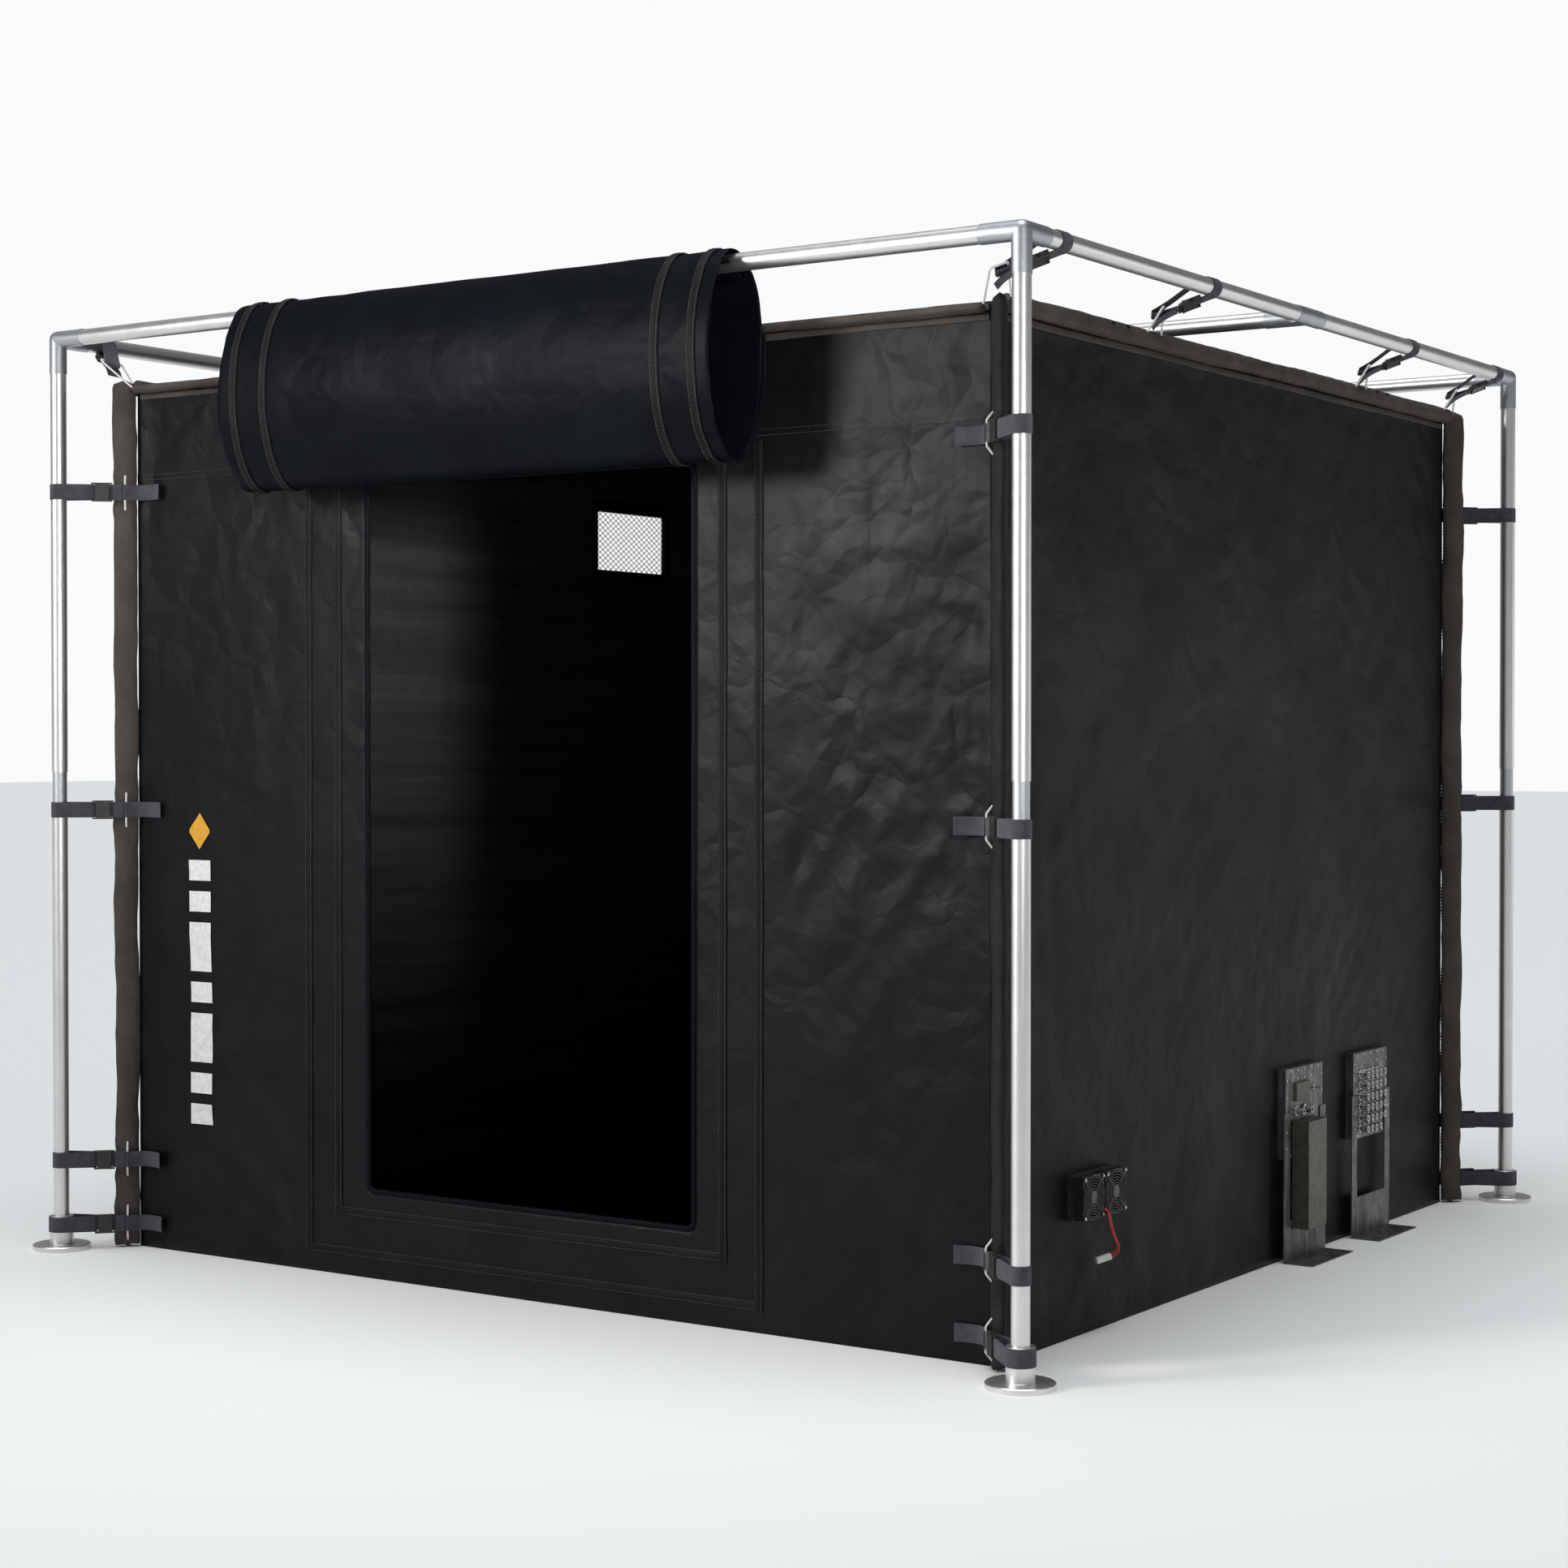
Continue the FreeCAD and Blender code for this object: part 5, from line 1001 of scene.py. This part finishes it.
def post_strap(ribbons, level, sides, number):
    """Loop round a post, buckle ply, turn round the cord and a loose tail along the wall."""
    place, offset, reach = post_strap_frame(COLLAR_RADIUS if level == POST_STRAP_LEVELS[0] else TUBE_RADIUS)
    back = place.inverted()
    sleeve = back @ Vector((SLEEVE_OUT, SLEEVE_OUT, 0))
    flank = sleeve.y + SLEEVE_THICK + FLANK_GAP
    wall_out = HALF + WEB_THICK / 2 + 0.0035
    flare = 0.010 + 0.004 * math.sin(number * 2.3)
    tail = [back @ spot for spot in flat((HALF - 0.005, wall_out + 0.028), (HALF - 0.023, wall_out + 0.002),
                                         (HALF - 0.060, wall_out), (HALF - 0.087, wall_out + flare))]
    loop = flat((POST_BUCKLE + SOCKET_END, offset + PLY_GAP), (POST_BUCKLE - 0.01, offset + PLY_GAP),
                (0.02, offset))
    loop += arc(Vector((0, 0, 0)), offset, 90, 270, 20)
    loop += rounded_line(flat((0.012, -offset), (sleeve.x - SLEEVE_REACH - WEB_THICK, flank),
                              (sleeve.x - 0.0065, flank), (reach - 0.005, offset - BIGHT - 0.001)))
    loop += arc(Vector((reach, offset, 0)), BIGHT - WEB_THICK / 2, -90, 90, 8)
    loop += rounded_line(flat((reach - 0.004, offset + BIGHT)) + tail)
    inner = flat((POST_BUCKLE + SOCKET_END, offset - PLY_GAP), (POST_BUCKLE - 0.01, offset - PLY_GAP),
                 (0.030, offset - PLY_GAP * 1.8))
    shown = Matrix.Translation((0, 0, level)) @ place
    for line in (loop, inner):
        ribbons.add([shown @ point for point in line], UP, sides=sides)
    return shown, offset, reach


def link_line(offset, reach):
    """Doubled webbing between a fastened plug and the turn round the cord."""
    start = POST_BUCKLE + PLUG_SPAN
    return flat((start - 0.003, offset), (start + 0.008, offset),
                (reach - BIGHT - 0.006, offset), (reach - BIGHT + 0.001, offset))


def post_straps(ribbons):
    """Sixteen straps; the links of the near post's four are kept as pieces of their own."""
    for number, level in enumerate(POST_STRAP_LEVELS, start=1):
        for sides in CORNERS:
            shown, offset, reach = post_strap(ribbons, level, sides, number + sides[0] + 3 * sides[1])
            line = [shown @ point for point in link_line(offset, reach)]
            if sides == NEAR_CORNER:
                link = Ribbons()
                link.add(line, UP, 2 * WEB_THICK, sides)
                piece = link.piece("strap_link_%d" % number)
                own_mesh(piece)
            else:
                ribbons.add(line, UP, 2 * WEB_THICK, sides)


RAIL_STRAP_PLACES = (-1.201, -0.517, 0.635, 1.240)      # along Y


def rail_strap(ribbons, along, side):
    """Strap over a side rail that slants forwards, folds round the cord and comes back to its buckle."""
    drop = math.radians(24.5)
    down = Vector((-math.cos(drop), 0, -math.sin(drop)))
    outer = Vector((math.sin(drop), 0, -math.cos(drop)))
    third = down.cross(outer)
    turn = Matrix((down, outer, third)).transposed().to_4x4()
    upright = Matrix.Translation((POST_PLACE, along, RAIL_PLACE)) @ turn
    slanted = upright @ Matrix.Rotation(math.radians(-30.5), 4, "Y")
    offset = TUBE_RADIUS + WEB_GAP + WEB_THICK / 2
    over = flat((0.010, offset)) + arc(Vector((0, 0, 0)), offset, 90, 270, 20) + flat((0.010, -offset))
    ribbons.add([upright @ point for point in over], third, sides=(side, 1))
    fold = Vector((0.136, 0.012, 0))
    far = rounded_line(flat((0.004, -offset), (0.030, -offset + 0.001), (0.100, 0.002),
                            (fold.x, fold.y - 0.004)))
    far += arc(fold, 0.004, -60, 90, 8)
    far += rounded_line(flat((0.124, 0.0165), (0.100, offset - 0.001),
                             (RAIL_BUCKLE + PLUG_SPAN - 0.003, offset)))
    near = flat((0.002, offset), (0.016, offset), (RAIL_BUCKLE + SOCKET_END, offset))
    width_way = (slanted.to_3x3() @ UP).normalized()
    for line in (far, near):
        ribbons.add([slanted @ point for point in line], width_way, sides=(side, 1))
    tail_start = (RAIL_BUCKLE + PLUG_SPAN + BIGHT, offset + WEB_THICK + 2 * WEB_GAP, 0)
    hung = slanted @ Matrix.Translation(tail_start) @ Matrix.Rotation(math.radians(10.5), 4, "Y")
    tail = rounded_line(flat((0, 0), (0.022, 0.0004), (0.045, 0.004), (0.064, 0.013)))
    ribbons.add([hung @ point for point in tail], (hung.to_3x3() @ UP).normalized(), sides=(side, 1))


def straps():
    """All webbing but the four links of the near post, as one piece."""
    ribbons = Ribbons()
    post_straps(ribbons)
    for along in RAIL_STRAP_PLACES:
        for side in (1, -1):
            rail_strap(ribbons, along, side)
    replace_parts(ribbons.piece("webbing_straps"), "strap_webbing")


# ---------------------------------------------------------------- vent, mark and leads

SPARE_HOLES = (-0.769, -0.700, 0.683, 0.747)            # along Y
HOLE_RADIUS = 0.004
HOLE_FACING = math.radians(40)          # how far the holes look up from level
HOLE_RIM = ((0.0, 0.0012), (0.7, 0.0012), (1.0, 0.0022), (1.5, -0.001))     # share of the radius, height


def spare_holes():
    """Bound edges of the spare cord holes in the right top sleeve."""
    points = []
    faces = []
    ring = 12
    for along in SPARE_HOLES:
        middle = edge_sleeve_point(1, HOLE_FACING, along)
        out = Vector((math.cos(HOLE_FACING), 0, math.sin(HOLE_FACING)))
        upward = Vector((-out.z, 0, out.x))
        start = len(points)
        for share, lift in HOLE_RIM:
            radius = HOLE_RADIUS * share
            for angle in angles_round(ring):
                points.append(middle + out * lift + Vector((0, radius * math.cos(angle), 0))
                              + upward * (radius * math.sin(angle)))
        faces += shifted(grid_faces(ring, len(HOLE_RIM), wrap=True), start)
    mesh_piece("spare_cord_holes", points, faces, BLACK_CLOTH)


MESH_LOW, MESH_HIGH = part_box("vent_mesh")


def wire(points, faces, start, end, radius):
    """A thin straight wire added to a mesh under construction."""
    way = (end - start).normalized()
    side = way.cross(Vector((1, 0, 0))).normalized()
    lift = way.cross(side)
    first = len(points)
    sides = 5
    for place in (start, end):
        for angle in angles_round(sides):
            points.append(place + side * (radius * math.cos(angle)) + lift * (radius * math.sin(angle)))
    faces += shifted(tube_faces(sides, 2), first)


def clipped(offset, slope, width, height):
    """Ends of the line y = slope * x + offset inside a rectangle from the origin, or None."""
    spots = []
    for x in (0, width):
        y = slope * x + offset
        if 0 <= y <= height:
            spots.append((x, y))
    for y in (0, height):
        x = (y - offset) / slope
        if 0 < x < width:
            spots.append((x, y))
    spots = sorted(set(spots))
    return (spots[0], spots[-1]) if len(spots) > 1 else None


def vent():
    """Diamond wire mesh in the left wall, between two sewn cloth borders."""
    width = MESH_HIGH.y - MESH_LOW.y
    height = MESH_HIGH.z - MESH_LOW.z
    across = 0.026
    tall = 0.0165
    points = []
    faces = []
    middle = (MESH_LOW.x + MESH_HIGH.x) / 2
    for way in (1, -1):
        slope = way * tall / across
        first = -math.ceil(abs(slope) * width / tall)
        for number in range(first, math.ceil(height / tall) - first + 1):
            ends = clipped(number * tall, slope, width, height)
            if ends and math.dist(*ends) > 0.004:
                shift = way * 0.0006
                start, end = (Vector((middle + shift, MESH_LOW.y + y, MESH_LOW.z + z)) for y, z in ends)
                wire(points, faces, start, end, 0.0011)
    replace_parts(mesh_piece("vent_wire_mesh", points, faces, VENT_WIRE), "vent_mesh")
    border = 0.0165
    margin = 0.013
    for label, x, facing in (("inside", VENT_HIGH.x - 0.007, 1), ("outside", VENT_LOW.x + 0.0006, -1)):
        spots = rounded_rectangle(MESH_LOW.y - margin, MESH_HIGH.y + margin, MESH_LOW.z - margin,
                                  MESH_HIGH.z + margin, 0.012, 0.03)
        path = [Vector((x, y, z)) for y, z in spots]
        normals = [Vector((facing, 0, 0))] * len(path)
        piece = band("vent_border_" + label, path, normals, border, 0.0005, STRIP_CLOTH, True)
        stitches("vent_thread_" + label, path, normals, (-0.0105, 0.0105), 0.0022, True)
        thicken(piece, 0.0012, -1)
        if facing == 1:
            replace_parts(piece, "vent_frame")


def inked_patch(name, outline_of, low_z, high_z, material):
    """A flat printed shape on the front wall: outline_of(z) gives its left and right edge."""
    rows = spaced([low_z, high_z], 0.008)
    points = []
    columns = 9
    for z in rows:
        left, right = outline_of(z)
        for part in range(columns):
            x = left + (right - left) * part / (columns - 1)
            points.append(Vector((x, -HALF - CLOTH / 2 - front_relief(x, z) - 0.0012, z)))
    return mesh_piece(name, points, grid_faces(columns, len(rows)), material)


def mark():
    """A plain printed sign of the door side: bars in a column, with a small lozenge above them."""
    middle = -1.006
    half = 0.036
    heights = (0.050, 0.050, 0.120, 0.050, 0.120, 0.050, 0.050)
    level = 0.318
    for number, height in enumerate(heights):
        inked_patch("mark_bar_%d" % number, lambda z: (middle - half, middle + half), level, level + height,
                    WHITE_INK)
        level += height + 0.026
    centre = level + 0.045
    size = 0.044
    inked_patch("mark_lozenge", lambda z: (middle - (size - abs(z - centre)) * 0.85 - 0.0004,
                                           middle + (size - abs(z - centre)) * 0.85 + 0.0004),
                centre - size, centre + size, AMBER_INK)


LEAD_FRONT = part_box("fan_frames")[1].x
# Each point in millimetres: how far out from the fans' faces, its Y and its level.
LEAD_ROUTES = {
    "fan_lead_front": [
        (-16, -816.65, 266), (-2, -816.65, 266), (5.4, -816.3, 261.8), (9.6, -815.5, 253.5),
        (10.5, -813, 239.5), (12.5, -805.8, 217.3), (15.6, -796, 197.1), (17.3, -789.1, 188.5),
        (16.2, -787.6, 179.9), (13, -790.3, 172.3), (8.5, -796.2, 167.9), (5.6, -800.6, 166.9)],
    "fan_lead_rear": [
        (-16, -812.35, 266), (-2, -812.35, 266), (5.4, -811.7, 261.8), (9.6, -810.5, 254.5),
        (10.5, -807.2, 241.1), (12.5, -800.2, 219.5), (14.5, -790.5, 197.9), (17.4, -783.5, 187.1),
        (18.2, -783.9, 177.6), (15.7, -787, 169.2), (11.5, -792.7, 163.2), (6.4, -799.4, 161.1)]}
LEAD_DIAMETER = 0.0042


def leads():
    """Two insulated leads that hang from between the fans to their connector."""
    for name, offsets in LEAD_ROUTES.items():
        curve = bpy.data.curves.new(name + "_wire", "CURVE")
        curve.dimensions = "3D"
        curve.bevel_depth = LEAD_DIAMETER / 2
        curve.bevel_resolution = 4
        curve.resolution_u = 8
        curve.use_fill_caps = True
        spline = curve.splines.new("NURBS")
        spline.points.add(len(offsets) - 1)
        for point, (out, across, level) in zip(spline.points, offsets):
            point.co = (LEAD_FRONT + out / 1000, across / 1000, level / 1000, 1)
        spline.order_u = 3
        spline.use_endpoint_u = True
        curve.materials.append(LEAD)
        piece = new_object(name + "_wire", curve)
        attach(piece, "frame")
        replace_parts(piece, name)


# ---------------------------------------------------------------- floor, light and camera

def floor_and_light():
    """A pale floor, a pale world and four lamps."""
    bpy.ops.mesh.primitive_plane_add(size=120, location=(0, 0, 0))
    ground = bpy.context.object
    ground.name = "studio_floor"
    paint = Paint("studio_floor", (0.93, 0.93, 0.93), 0.9, specular=0.1)
    ground.data.materials.append(paint.material)
    world = bpy.data.worlds.new("studio")
    bpy.context.scene.world = world
    world.use_nodes = True
    tree = world.node_tree
    tree.nodes["Background"].inputs["Color"].default_value = (0.98, 0.99, 1.0, 1)
    seen = tree.nodes.new("ShaderNodeLightPath")
    level = tree.nodes.new("ShaderNodeMapRange")
    level.inputs["To Min"].default_value = 0.13
    level.inputs["To Max"].default_value = 0.97
    tree.links.new(seen.outputs["Is Camera Ray"], level.inputs["Value"])
    tree.links.new(level.outputs["Result"], tree.nodes["Background"].inputs["Strength"])
    lamp("front_left", (-2.7, -6.3, 2.9), (0.8, -1.2, 1.5), 1.8, 30, 56, (1.0, 0.99, 0.97))
    lamp("through_door", (6.2, -5.7, 1.7), (-1.2, -0.50, 1.75), 1.5, 5.0, 12, (1.0, 0.98, 0.95))
    lamp("right_rear", (5.2, 4.6, 1.6), (1.2, -0.6, 0.7), 1.6, 1.6, 50, (1.0, 0.98, 0.95))
    sky = bpy.data.lights.new("overhead", "SUN")
    sky.energy = 2.2
    sky.angle = math.radians(50)
    sky.color = (0.95, 0.98, 1.0)
    new_object("overhead", sky).rotation_euler = (math.radians(8), 0, 0)


def lamp(name, place, target, size, power, spread, colour):
    """Round softbox aimed at a target; its grid keeps the light within spread degrees."""
    data = bpy.data.lights.new(name, "AREA")
    data.shape = "DISK"
    data.size = size
    data.energy = power
    data.spread = math.radians(spread)
    data.color = colour
    light = new_object(name, data)
    light.location = place
    light.rotation_euler = (Vector(target) - Vector(place)).to_track_quat("-Z", "Y").to_euler()


def camera():
    """Camera at the height of a standing person's chest, off the front right corner."""
    data = bpy.data.cameras.new("camera")
    data.lens = 65.09
    data.sensor_width = 36
    view = new_object("camera", data)
    view.location = (4.0335, -6.1575, 1.2604)
    view.rotation_euler = (math.radians(90 - 0.918), 0, math.radians(33.9407))
    bpy.context.scene.camera = view
    bpy.context.scene.view_settings.view_transform = "Standard"


camera()
floor_and_light()
paint_nodes()
walls()
front_strips()
door_binding()
front_seam()
rolled_door()
corner_sleeves()
edge_sleeves()
straps()
spare_holes()
vent()
mark()
leads()
